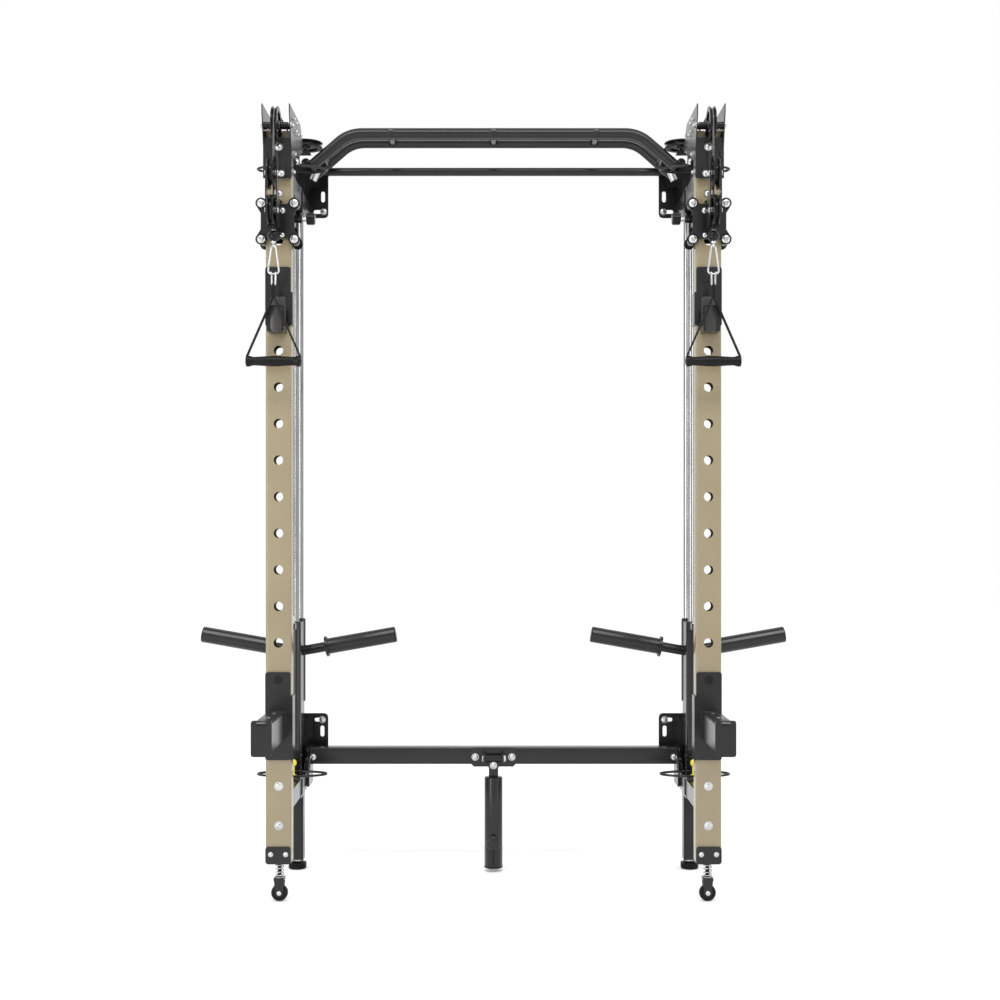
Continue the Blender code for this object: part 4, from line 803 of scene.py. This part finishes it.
def hanging_link(side):
    """Rubber ball stop, eye, snap hook and the two small links above the handle."""
    axis = side.at(-SWIVEL_OUT, SWIVEL_Y, BALL_Z)
    body = side.body("handle_link")
    profile = [(0.0033, BALL_RADIUS - 0.0004)]
    for step in range(1, 24):
        angle = math.pi / 2 - math.pi * step / 24
        if step == 12:
            profile += [
                (BALL_RADIUS, 0.0006), (BALL_RADIUS - 0.0006, 0.0003),
                (BALL_RADIUS - 0.0006, -0.0003), (BALL_RADIUS, -0.0006),
            ]
            continue
        profile.append((max(BALL_RADIUS * math.cos(angle), 0.0034), BALL_RADIUS * math.sin(angle)))
    profile.append((0.0033, -BALL_RADIUS + 0.0004))
    side.piece(
        "ball_stop", "black_plastic", body, turned(profile, axis, UP, 40),
        stands_for=["handle_link"],
    )
    ferrule = [
        (0.003, 0.0062), (0.0062, 0.0062), (0.0068, 0.0052), (0.0068, 0.0008), (0.006, 0), (0.003, 0)
    ]
    top = axis + Vector((0, 0, BALL_RADIUS - 0.0028))
    low = axis - Vector((0, 0, BALL_RADIUS - 0.0028))
    eye_centre = axis - Vector((0, 0, BALL_RADIUS + 0.0085))
    eye = []
    for step in range(20):
        angle = 2 * math.pi * step / 20
        eye.append(eye_centre + Vector((0, 0.0062 * math.cos(angle), 0.0062 * math.sin(angle))))
    hook_centre = Vector((axis.x, axis.y, 1.744))
    hook = snap_outline(hook_centre)
    gate_low = hook_centre + Vector((-0.013, 0, -0.017))
    gate_high = hook_centre + Vector((-0.0078, 0, 0.022))
    rivet = [
        (0, 0.0048), (0.003, 0.0048), (0.0034, 0.004), (0.0034, -0.004), (0.003, -0.0048), (0, -0.0048)
    ]
    side.piece(
        "snap_hook", "zinc_steel", body,
        turned(ferrule, top, UP, 28), turned(ferrule, low, DOWN, 28),
        tube_along(eye, 0.0019, 10, closed=True), tube_along(hook, 0.0026, 14, closed=True),
        tube_along([gate_low, gate_high], 0.0029, 12),
        turned(rivet, gate_low, REARWARD, 16),
    )
    links = []
    for way in (-1, 1):
        centre = Vector((axis.x + way * 0.005, axis.y, 1.693))
        points = []
        for step in range(28):
            angle = 2 * math.pi * step / 28
            rise = math.sin(angle)
            stretch = 0.0125 if rise >= 0 else -0.0125
            points.append(
                centre + Vector((way * 0.0012 * rise, 0.0052 * math.cos(angle), stretch + 0.0055 * rise))
            )
        links.append(tube_along(points, 0.0018, 10, closed=True))
    side.piece("chain_links", "zinc_steel", body, *links)


def handle_pieces(side):
    """Webbing straps and the contoured rubber grip."""
    x = side.x(-SWIVEL_OUT)
    body = side.body("handle")
    top = Vector((x, SWIVEL_Y, APEX_Z + 0.004))
    straps = []
    for way in (-1, 1):
        end = Vector((x + way * 0.0715, SWIVEL_Y, GRIP_Z + 0.0125))
        split = Vector((x + way * 0.003, SWIVEL_Y, SPLIT_Z))
        run = (end - split).normalized()
        points = [top + Vector((way * 0.0022, 0, 0)), top + Vector((way * 0.0028, 0, -0.012)), split]
        points += [split + Vector((way * 0.0022, 0, -0.005))]
        points += line_points(split + run * 0.012, end, 10)
        points.append(end + Vector((-way * 0.0006, 0, -0.01)))
        straps.append(ribbon(points, REARWARD, 0.012, 0.0048))
    side.piece("handle_straps", WEBBING, body, *straps, stands_for=["handle"], slot="black_rubber")
    stitches = []
    for way in (-1, 1):
        start = Vector((x + way * 0.003, SWIVEL_Y, SPLIT_Z))
        run = (Vector((x + way * 0.0715, SWIVEL_Y, GRIP_Z + 0.0125)) - start).normalized()
        normal = Vector((-way * run.z, 0, way * run.x))
        base = start + run * 0.018 + normal * 0.001
        for row in (-1, 1):
            for stitch in range(7):
                first = base + run * (0.004 * stitch) + Vector((0, row * 0.0035, 0)) + normal * 0.0018
                stitches.append(tube_along([first, first + run * 0.0024], 0.00045, 6))
    side.piece("strap_stitches", LINER, body, *stitches, slot="black_rubber")
    half = GRIP_HALF
    right = [
        (0.0, half), (0.0128, half), (0.0148, half - 0.0014), (0.015, half - 0.006),
        (0.0142, half - 0.01),
        (0.013, half - 0.014), (0.0124, half - 0.016),
    ]
    middle = []
    for step in range(0, 27):
        level = (half - 0.018) * (1 - step / 13)
        swell = 0.0118 + 0.0026 * math.cos(math.pi / 2 * level / (half - 0.018)) ** 2
        groove = 0.00025 if step % 2 else 0.0
        middle.append((swell - groove, level))
    left = [(radius, -level) for radius, level in right[::-1]]
    side.piece(
        "grip", "black_rubber", body,
        turned(right + middle + left, (x, SWIVEL_Y, GRIP_Z), ACROSS, 40), sharp=50,
    )
    caps = [
        button_head((x + way * half, SWIVEL_Y, GRIP_Z), (way, 0, 0), 0.0085, 0.0016, 1.0)
        for way in (-1, 1)
    ]
    side.piece("grip_ends", "black_plastic", body, *caps)


def cable_pieces(side):
    """The cable in four lengths: to the trolley, through the swivel, over the pulleys, to the carriage."""
    outer = side.x(-SWIVEL_OUT)
    inner = side.x(0)
    run_z = PULLEY_Z + WRAP
    over = arc_points((TOP_PULLEY_Y, PULLEY_Z), WRAP, math.pi, math.pi / 2, 14, outer)
    after = arc_points((DROP_PULLEY_Y, PULLEY_Z), WRAP, math.pi / 2, 0, 14, inner)
    straight = line_points((outer, TOP_PULLEY_Y, run_z), (inner, DROP_PULLEY_Y, run_z), 8)[1:-1]
    down = line_points((inner, FOLD_Y, PULLEY_Z - 0.01), (inner, FOLD_Y, TOP_ARM_Z + 0.0295), 4)
    side.piece(
        "cable_top", "cable_coat", side.gate,
        tube_along(over + straight + after + down, CABLE_RADIUS, 12), stands_for=["cable"],
    )
    front = side.piece(
        "cable_front", "cable_coat", None,
        tube_along(line_points((outer, SWIVEL_Y, PULLEY_Z), (outer, SWIVEL_Y, 1.8805), 40), CABLE_RADIUS, 12),
    )
    side.body("trolley")
    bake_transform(front)
    through = side.piece(
        "cable_through", "cable_coat", None,
        tube_along(
            line_points((outer, SWIVEL_Y, 1.88), (outer, SWIVEL_Y, BALL_Z + 0.014), 96), CABLE_RADIUS, 12
        ),
    )
    side.body("swivel_bracket")
    side.body("handle_link")
    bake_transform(through)
    top, low = TOP_ARM_Z + 0.029, CARRIAGE_TOP - 0.001
    drop = side.piece(
        "cable_drop", "cable_coat", None,
        tube_along(line_points((inner, FOLD_Y, top), (inner, FOLD_Y, low), 90), CABLE_RADIUS, 12),
    )
    side.body("carriage")
    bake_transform(drop)


# ---------------------------------------------------------------- hooks, safety arms and casters
def hook_details(side):
    face = FRONT_Y - 0.0063
    side.piece(
        "hook_liner", LINER, side.gate,
        outline_plate(rounded(0.044, 0.074, 0.008, (side.x(0), 1.618)), face - 0.0032, face - 0.0004),
        outline_plate(
            rounded(0.032, 0.07, 0.014, (side.x(0.003), 1.587)), FRONT_Y - 0.0585, FRONT_Y - 0.0563
        ),
        brick(side.at(-0.022, FRONT_Y - 0.05, 1.5812), side.at(0.022, face - 0.0034, 1.5842), 0.0008),
        slot="black_plastic",
    )
    side.piece(
        "hook_peg_end", "black_paint", side.gate,
        turned([(0, 0.0012), (0.0096, 0.0012), (0.0104, 0.0004), (0.0104, -0.0004), (0, -0.0004)],
               side.at(0, face, HOOK_Z), FORWARD, 32),
    )


def spotter_details(side):
    face = FRONT_Y - 0.0063
    ring = [(0.0075, 0.0016), (0.0108, 0.0016), (0.0112, 0.0008), (0.0112, 0), (0.0075, 0)]
    side.piece(
        "spotter_peg_ring", "black_plastic", side.gate,
        turned(ring, side.at(0, face - 0.0003, SPOTTER_Z), FORWARD, 36),
        turned(
            [(0, 0.001), (0.007, 0.001), (0.007, 0), (0, 0)], side.at(0, face - 0.0003, SPOTTER_Z),
            FORWARD, 32
        ),
    )
    top = 0.5213
    tip = FRONT_Y - 0.263
    side.piece(
        "spotter_liner", LINER, side.gate,
        brick(
            side.at(-0.005 - 0.0235, tip + 0.0056, top),
            side.at(-0.005 + 0.0235, face - 0.002, top + 0.0016), 0.0005
        ),
        slot="black_plastic",
    )
    screws = []
    for y in (tip + 0.04, tip + 0.13, tip + 0.22):
        screws.append(button_head(side.at(-0.005, y, top + 0.0012), UP, 0.0055, 0.0016, 1.0))
    side.piece("spotter_screws", "zinc_steel", side.gate, *screws)
    side.piece(
        "spotter_welds", "black_paint", side.gate,
        weld_bead(side.at(-0.005, face - 0.0006, 0.4855), 0.0255, 0.036),
    )


def caster_details(side):
    axis = side.at(0, FRONT_Y + 0.025, 0)
    points = []
    turns, steps = 4.5, 18
    low, high = 0.0668, 0.1046
    total = int(turns * steps)
    for step in range(total + 1):
        share = step / total
        eased = share - 0.045 * math.sin(2 * math.pi * share)
        angle = 2 * math.pi * turns * share
        points.append(Vector((
            axis.x + 0.0114 * math.cos(angle), axis.y + 0.0114 * math.sin(angle), low + (high - low) * eased
        )))
    spring = side.piece("caster_coil", "zinc_steel", None, tube_along(points, 0.0015, 10))
    side.body("caster_fork")
    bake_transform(spring)
    wheel_axis = Vector((axis.x, axis.y, WHEEL_Z))
    tyre = [
        (0.0098, 0.0088), (0.018, 0.0088), (0.0215, 0.008), (0.0227, 0.0058), (0.023, 0.003),
        (0.023, -0.003),
        (0.0227, -0.0058), (0.0215, -0.008), (0.018, -0.0088), (0.0098, -0.0088),
    ]
    side.piece(
        "caster_tyre", "black_rubber", side.body("caster_wheel"), turned(tyre, wheel_axis, REARWARD, 44),
        stands_for=["caster_wheel"],
    )
    hub = [
        (0.0046, 0.0094), (0.007, 0.0094), (0.01, 0.0082), (0.01, -0.0082), (0.007, -0.0094),
        (0.0046, -0.0094)
    ]
    side.piece(
        "caster_hub", "black_plastic", side.body("caster_wheel"), turned(hub, wheel_axis, REARWARD, 32)
    )
    ends = [
        button_head(wheel_axis + Vector((0, way * 0.0136, 0)), (0, way, 0), 0.0062, 0.0028, 1.0)
        for way in (-1, 1)
    ]
    side.piece("caster_axle_ends", "zinc_steel", side.body("caster_fork"), *ends)
    washer = [(0.0066, 0.0016), (0.0125, 0.0016), (0.0125, 0), (0.0066, 0)]
    side.piece(
        "caster_spring_seat", "zinc_steel", side.body("caster_fork"),
        turned(washer, Vector((axis.x, axis.y, 0.0652)), UP, 28),
    )


# ---------------------------------------------------------------- wall frame
def wire_loop(centre, half_x, half_y, body, name):
    """A flat loop of bent rod round the fold joint."""
    points = []
    for step in range(48):
        angle = 2 * math.pi * step / 48
        points.append(
            Vector((centre.x + half_x * math.cos(angle), centre.y + half_y * math.sin(angle), centre.z))
        )
    piece(name, "black_paint", body, tube_along(points, 0.0036, 12, closed=True))


def wall_details(side):
    bolts = []
    for inward, z in ((0.062, 0.436), (-0.062, 0.436), (0.066, 1.997), (-0.066, 1.997)):
        bolts.append(hex_head(side.at(inward, WALL_Y - 0.0052, z), FORWARD, 0.0085))
    side.piece("wall_screws", "zinc_steel", "wall_frame", *bolts)
    ends = []
    ends.append(
        button_head(side.at(0.0035, BAR_FRONT_Y - 0.0165, BAR_END_Z + 0.012), FORWARD, 0.01, 0.006)
    )
    spacer = [
        (0.006, 0.03), (0.01, 0.03), (0.0112, 0.0288), (0.0112, 0.0012), (0.01, 0), (0.006, 0)
    ]
    ends.append(turned(spacer, side.at(0.049, BAR_FRONT_Y + 0.012, 2.06), (0.45 * -side.sign, 0, 1), 28))
    ends.append(hex_head(side.at(0.028, 0.249, 2.1795), UP, 0.0088))
    side.piece("bar_bolts", "zinc_steel", "wall_frame", *ends)
    ring = [(0.007, 0.004), (0.0122, 0.004), (0.013, 0.003), (0.013, 0), (0.007, 0)]
    side.piece(
        "bar_end_ring", "black_plastic", "wall_frame",
        turned(ring, side.at(0.0325, BAR_FRONT_Y - 0.0168, BAR_END_Z + 0.01), FORWARD, 36),
        turned([(0, 0.003), (0.0066, 0.003), (0.0066, 0), (0, 0)],
               side.at(0.0325, BAR_FRONT_Y - 0.0168, BAR_END_Z + 0.01), FORWARD, 24),
    )
    beam_bolts = []
    for z in (BEAM_Z + 0.013, BEAM_Z - 0.013):
        beam_bolts.append(hex_head(side.at(0.0284, BEAM_Y, z), -side.inwards, 0.0078, 0.0034))
    beam_bolts.append(button_head(side.at(0.045, BEAM_Y - 0.0252, BEAM_Z - 0.003), FORWARD, 0.0085))
    side.piece("beam_end_bolts", "zinc_steel", "wall_frame", *beam_bolts)


def low_cable_pulley(side):
    """The pulley low on the post that turns the cable forwards, in its small bracket."""
    centre = side.at(0.0372, 0.22, 0.318)
    side.piece(
        "low_pulley_wheel", "black_plastic", "wall_frame",
        pulley_shape(centre, ACROSS, 0.026, 0.012, 0.02, 0.0056, 0.009),
    )
    return centre


def horn_details(side):
    """End plugs for the two weight horns, rings on the sleeves and the cable's end fitting."""
    plugs = []
    for way in (-1, 1):
        outward = Vector((-way * side.sign, 0, math.tan(HORN_RISE))).normalized()
        start = side.at(way * HORN_START, HORN_Y, HORN_Z)
        length = (HORN_END - HORN_START) / math.cos(HORN_RISE) - HORN_RADIUS * math.tan(HORN_RISE)
        tip = start + outward * length
        plugs.append(turned(
            [(0, 0.0016), (0.0195, 0.0016), (0.0222, 0.0006), (0.0232, -0.0004), (0, -0.0004)], tip,
            outward, 40
        ))
    side.piece("horn_plugs", "black_plastic", side.body("carriage"), *plugs)
    rings = []
    for y, low, high in ((ROD_FRONT_Y, 0.365, 0.739), (ROD_REAR_Y, 0.5, 0.748)):
        for level, way in ((high, 1), (low, -1)):
            rings.append(turned(
                [(0.0096, 0.0022), (0.0128, 0.0022), (0.014, 0.0012), (0.014, 0.0001), (0.0096, 0.0001)],
                side.at(0, y, level), (0, 0, way), 32,
            ))
    side.piece("sleeve_bushes", "black_plastic", side.body("carriage"), *rings)
    side.piece(
        "cable_end", "zinc_steel", side.body("carriage"),
        turned([(0.0029, 0.022), (0.0048, 0.022), (0.0056, 0.019), (0.0056, 0.003), (0.0075, 0.0018),
                (0.0075, 0.0002),
                (0.0029, 0.0002)], side.at(0, FOLD_Y, CARRIAGE_TOP - 0.0018), UP, 24),
    )


def foot_pieces(side):
    centre = side.at(-0.003, 0.295, 0)
    profile = [(0, 0.0205), (0.02, 0.0205), (0.024, 0.019)]
    for ridge in range(4):
        level = 0.0178 - ridge * 0.004
        profile += [
            (0.027, level), (0.027, level - 0.002), (0.0256, level - 0.0025), (0.0256, level - 0.0035)
        ]
    profile += [(0.0262, 0.0008), (0.025, 0), (0, 0)]
    side.piece(
        "foot_pad", "black_rubber", side.body("levelling_foot"), turned(profile, centre, UP, 44),
        stands_for=["levelling_foot"],
    )
    thread = [(0, 0.042), (0.0058, 0.042)]
    for turn in range(6):
        level = 0.0405 - turn * 0.0032
        thread += [(0.006, level), (0.0053, level - 0.0016)]
    thread += [(0.006, 0.0206), (0, 0.0206)]
    side.piece("foot_stem", "zinc_steel", side.body("levelling_foot"), turned(thread, centre, UP, 24))
    nut = [(0.0064, 0.0064), (0.0098, 0.0064), (0.0112, 0.0054), (0.0112, 0.001), (0.0098, 0), (0.0064, 0)]
    side.piece(
        "foot_nut", "zinc_steel", side.body("levelling_foot"),
        turned(nut, centre + Vector((0, 0, 0.0209)), UP, 6),
    )


def fold_pin_piece(side):
    """Ball-topped yellow pin with its flange."""
    base = 0.2966 + 0.0003
    profile = [(0, base + 0.052)]
    for step in range(1, 15):
        angle = math.pi / 2 - math.pi * step / 16
        profile.append((0.0118 * math.cos(angle), base + 0.0402 + 0.0118 * math.sin(angle)))
    profile += [
        (0.0062, base + 0.028), (0.006, base + 0.0075), (0.009, base + 0.006), (0.0123, base + 0.0052),
        (0.0125, base + 0.0008), (0.0118, base), (0.01, base), (0.01, 0.228), (0.008, 0.2265),
        (0, 0.2265),
    ]
    side.piece(
        "fold_pin_piece", "yellow_plastic", side.body("fold_pin"),
        turned(profile, side.at(0, FOLD_Y, 0), UP, 36), stands_for=["fold_pin"],
    )


def bumper_piece(side):
    low, high = 0.2903, 0.3647
    profile = [(0.0093, high)]
    for ring in range(5):
        top = high - ring * (high - low) / 5
        foot = top - (high - low) / 5
        profile += [(0.0145, top), (0.016, top - 0.002), (0.016, foot + 0.004), (0.0138, foot + 0.001)]
    profile += [(0.0145, low), (0.0093, low)]
    side.piece(
        "bumper_piece", "black_rubber", "wall_frame",
        turned(profile, side.at(0, ROD_FRONT_Y, 0), UP, 32),
        stands_for=["bumper"],
    )


# ---------------------------------------------------------------- middle of the rack
def bar_route(y):
    """One bent tube: flat in the middle, an arc each side and a straight fall to each end."""
    end = Vector((BAR_END_X, y, BAR_END_Z))
    corner = Vector((BAR_FLAT_HALF + 0.035, y, BAR_Z))
    fall = (end - corner).normalized()
    trim = 0.04
    start, stop = corner - Vector((trim, 0, 0)), corner + fall * trim
    half = [end, end - fall * 0.055]
    for step in range(13):
        t = 1 - step / 12
        half.append(start * (1 - t) ** 2 + corner * 2 * t * (1 - t) + stop * t ** 2)
    return [Vector((-p.x, p.y, p.z)) for p in half] + half[::-1]


def pull_up_bar_pieces():
    front = bar_route(BAR_FRONT_Y)
    rear = bar_route(BAR_REAR_Y)
    rungs = []
    beads = []
    for x in (-GRIP_SPACING, 0, GRIP_SPACING):
        rungs.append(tube_along([(x, BAR_FRONT_Y, BAR_Z), (x, BAR_REAR_Y, BAR_Z)], 0.0118, 28))
        for y, way in ((BAR_FRONT_Y, 1), (BAR_REAR_Y, -1)):
            beads.append(turned(
                [(0.013, 0.003), (0.0146, 0.0018), (0.0156, 0), (0.013, 0)],
                (x, y + way * (BAR_RADIUS - 0.0028), BAR_Z), (0, way, 0), 28,
            ))
    for sign in (-1, 1):
        spacer = front[1]
        rungs.append(tube_along(
            [(sign * spacer.x, BAR_FRONT_Y, spacer.z), (sign * spacer.x, BAR_REAR_Y, spacer.z)], 0.0118, 28
        ))
    piece(
        "pull_up_bar_skin", "black_paint", "wall_frame", tube_along(front, BAR_RADIUS, 32),
        tube_along(rear, BAR_RADIUS, 32), *rungs, *beads, stands_for=["pull_up_bar"],
    )
    caps = []
    for sign in (-1, 1):
        for y in (BAR_FRONT_Y, BAR_REAR_Y):
            end = Vector((sign * BAR_END_X, y, BAR_END_Z))
            bend = Vector((BAR_FLAT_HALF + 0.035, y, BAR_Z))
            fall = (Vector((BAR_END_X, y, BAR_END_Z)) - bend).normalized()
            caps.append(turned(
                [(0, 0.0014), (0.013, 0.0014), (0.0152, 0.0004), (0.0156, -0.0002), (0, -0.0002)],
                end, (sign * fall.x, 0, fall.z), 32,
            ))
    piece("bar_end_plugs", "black_plastic", "wall_frame", *caps)
    marks = []
    for x in (-GRIP_SPACING, 0, GRIP_SPACING):
        marks.append(turned(
            [(0, 0.001), (0.0095, 0.001), (0.0105, 0.0004), (0.0105, -0.001), (0, -0.001)],
            (x, BAR_FRONT_Y - BAR_RADIUS + 0.0006, BAR_Z), FORWARD, 32,
        ))
    piece("rung_ends", "black_paint", "wall_frame", *marks)


def tie_bar_piece():
    end, y, z = 0.527, 0.364, 2.116
    tabs = [
        brick((sign * (end - 0.024), y, z - 0.011), (sign * end, 0.3787, z + 0.011), 0.0012)
        for sign in (-1, 1)
    ]
    piece(
        "tie_bar_skin", "black_paint", "wall_frame",
        turned([(0, end), (0.0108, end), (0.0125, end - 0.0015), (0.0125, -end + 0.0015), (0.0108, -end),
                (0, -end)],
               (0, y, z), ACROSS, 32), *tabs, stands_for=["tie_bar"],
    )


def beam_piece():
    """The square cross tube with rounded corners and a plate at each end."""
    outline = rounded(0.05, 0.05, 0.005)

    def build(bm):
        rings = []
        for x in (-BEAM_HALF + 0.004, BEAM_HALF - 0.004):
            rings.append([bm.verts.new((x, BEAM_Y + u, BEAM_Z + v)) for u, v in outline])
        for step in range(len(outline)):
            after = (step + 1) % len(outline)
            bm.faces.new((rings[0][step], rings[0][after], rings[1][after], rings[1][step]))
        bm.faces.new(rings[0][::-1])
        bm.faces.new(rings[1])
    plates = []
    for sign in (-1, 1):
        plates.append(brick(
            (sign * (BEAM_HALF - 0.0053), BEAM_Y - 0.027, BEAM_Z - 0.027),
            (sign * (BEAM_HALF - 0.0003), BEAM_Y + 0.027, BEAM_Z + 0.027), 0.0012,
        ))
    piece("cross_beam_skin", "black_paint", "wall_frame", build, *plates, stands_for=["cross_beam"])


def landmine_details():
    bolts = []
    for x in (-0.055, 0.055):
        bolts.append(button_head((x, 0.2774, BEAM_Z - 0.002), FORWARD, 0.0088))
    piece("landmine_bracket_bolts", "zinc_steel", "wall_frame", *bolts)
    pins = [
        hex_head((0.031, MINE_Y, MINE_PIN_Z), ACROSS, 0.0088), button_head(
            (-0.031, MINE_Y, MINE_PIN_Z), (-1, 0, 0), 0.0088),
    ]
    piece("landmine_pin_ends", "zinc_steel", "landmine_yoke_body", *pins)
    tilt = [button_head((0, MINE_Y + way * 0.0118, MINE_TILT_Z), (0, way, 0), 0.0088) for way in (-1, 1)]
    piece("landmine_tilt_bolts", "zinc_steel", "landmine_sleeve_body", *tilt)
    profile = [
        (0, SLEEVE_TOP), (0.024, SLEEVE_TOP), (0.0262, SLEEVE_TOP - 0.0008), (0.027, SLEEVE_TOP - 0.003),
        (0.027, SLEEVE_BOTTOM + 0.0012), (0.0262, SLEEVE_BOTTOM), (0.0252, SLEEVE_BOTTOM),
        (0.0245, SLEEVE_BOTTOM + 0.001), (0.0245, SLEEVE_TOP - 0.012), (0, SLEEVE_TOP - 0.012),
    ]
    ears = []
    for way in (-1, 1):
        near, far = MINE_Y + way * 0.0065, MINE_Y + way * 0.0115
        outline = [(-0.014, SLEEVE_TOP - 0.004), (0.014, SLEEVE_TOP - 0.004), (0.014, MINE_TILT_Z - 0.007)]
        for step in range(13):
            angle = 0.35 + (math.pi - 0.7) * step / 12
            outline.append((0.0102 * math.cos(angle), MINE_TILT_Z + 0.0095 * math.sin(angle)))
        outline.append((-0.014, MINE_TILT_Z - 0.007))
        ears.append(outline_plate(outline, min(near, far), max(near, far)))
    knob = [(0, 0.0145), (0.0165, 0.0145), (0.019, 0.013)]
    for ridge in range(3):
        level = 0.0112 - ridge * 0.0034
        knob += [(0.0202, level), (0.0202, level - 0.0018), (0.019, level - 0.0024)]
    knob += [(0.0188, 0.001), (0.01, -0.001), (0, -0.001)]
    piece(
        "landmine_knob", "black_paint", "landmine_sleeve_body",
        turned(knob, (0, MINE_Y - 0.0268, SLEEVE_KNOB_Z), FORWARD, 36),
    )
    # A thin dark rubber strip on the sleeve's front: painted shade standing in for the clamp slot, which is
    # not cut.
    piece(
        "landmine_slot_painted_shade", "black_rubber", "landmine_sleeve_body",
        brick((-0.0016, MINE_Y - 0.0274, 0.022), (0.0016, MINE_Y - 0.0255, 0.066), 0.0004),
    )
    piece(
        "landmine_sleeve_skin", "black_paint", "landmine_sleeve_body",
        turned(profile, (0, MINE_Y, 0), UP, 48),
        *ears, stands_for=["landmine_sleeve"],
    )
    grip_ring = [(0.0271, 0.0035), (0.0279, 0.003), (0.0279, 0.0005), (0.0271, 0)]
    piece(
        "landmine_collar", "black_plastic", "landmine_sleeve_body",
        turned(grip_ring, (0, MINE_Y, SLEEVE_BOTTOM + 0.001), UP, 48),
    )


# ---------------------------------------------------------------- camera and light
def set_camera():
    data = bpy.data.cameras.new("camera")
    data.lens = 52.7
    data.sensor_width = 36
    data.shift_x = 0.0065
    data.shift_y = 0.03
    camera = bpy.data.objects.new("camera", data)
    bpy.context.scene.collection.objects.link(camera)
    camera.location = (0, FRONT_Y - CAMERA_DISTANCE, CAMERA_HEIGHT)
    camera.rotation_euler = (math.radians(90), 0, 0)
    bpy.context.scene.camera = camera


def area_light(name, location, target, size, power):
    data = bpy.data.lights.new(name, "AREA")
    data.shape = "RECTANGLE"
    data.size, data.size_y = size
    data.energy = power
    light = bpy.data.objects.new(name, data)
    bpy.context.scene.collection.objects.link(light)
    light.location = location
    light.rotation_euler = (Vector(target) - Vector(location)).to_track_quat("-Z", "Y").to_euler()


def set_studio():
    scene = bpy.context.scene
    scene.view_settings.view_transform = "Standard"
    world = bpy.data.worlds.new("studio")
    world.use_nodes = True
    scene.world = world
    backdrop = world.node_tree.nodes["Background"]
    backdrop.inputs["Color"].default_value = (1, 1, 1, 1)
    backdrop.inputs["Strength"].default_value = 1.0
    area_light("overhead", (0, -2.6, 4.6), (0, 0.2, 2.0), (4.0, 1.0), 110)
    area_light("left_strip", (-2.5, -3.0, 1.3), (-0.2, 0.1, 1.1), (1.0, 3.0), 50)
    area_light("right_strip", (3.4, -2.2, 1.3), (0.2, 0.1, 1.1), (0.5, 3.0), 20)
    bm = bmesh.new()
    half = 14.0
    corners = [(-half, -half, -0.0008), (half, -half, -0.0008), (half, half, -0.0008), (-half, half, -0.0008)]
    bm.faces.new([bm.verts.new(corner) for corner in corners])
    mesh = bpy.data.meshes.new("studio_floor")
    bm.to_mesh(mesh)
    bm.free()
    floor = bpy.data.objects.new("studio_floor", mesh)
    scene.collection.objects.link(floor)
    paint = bpy.data.materials.new("pale_floor")
    paint.use_nodes = True
    shader = paint.node_tree.nodes["Principled BSDF"]
    shader.inputs["Base Color"].default_value = (0.93, 0.93, 0.93, 1)
    shader.inputs["Roughness"].default_value = 0.9
    shader.inputs["Specular IOR Level"].default_value = 0.1
    shader.inputs["Emission Color"].default_value = (1, 1, 1, 1)
    shader.inputs["Emission Strength"].default_value = 0.12
    mesh.materials.append(paint)


def dress_side(side):
    upright_skin(side)
    upright_bolts(side)
    arm_details(side)
    pulleys(side)
    pulley_bracket_details(side)
    trolley_details(side)
    pop_pin(side)
    swivel_details(side)
    hanging_link(side)
    handle_pieces(side)
    cable_pieces(side)
    hook_details(side)
    spotter_details(side)
    caster_details(side)
    for level, label in ((2.072, "top"), (0.307, "low")):
        wire_loop(side.at(0, 0.155, level), 0.1, 0.045, "wall_frame", side.name(f"{label}_loop"))
    wall_details(side)
    low_cable_pulley(side)
    horn_details(side)
    foot_pieces(side)
    fold_pin_piece(side)
    bumper_piece(side)


set_camera()
set_studio()
for rack_side in (Side(-1, "left"), Side(1, "right")):
    dress_side(rack_side)
pull_up_bar_pieces()
tie_bar_piece()
beam_piece()
landmine_details()
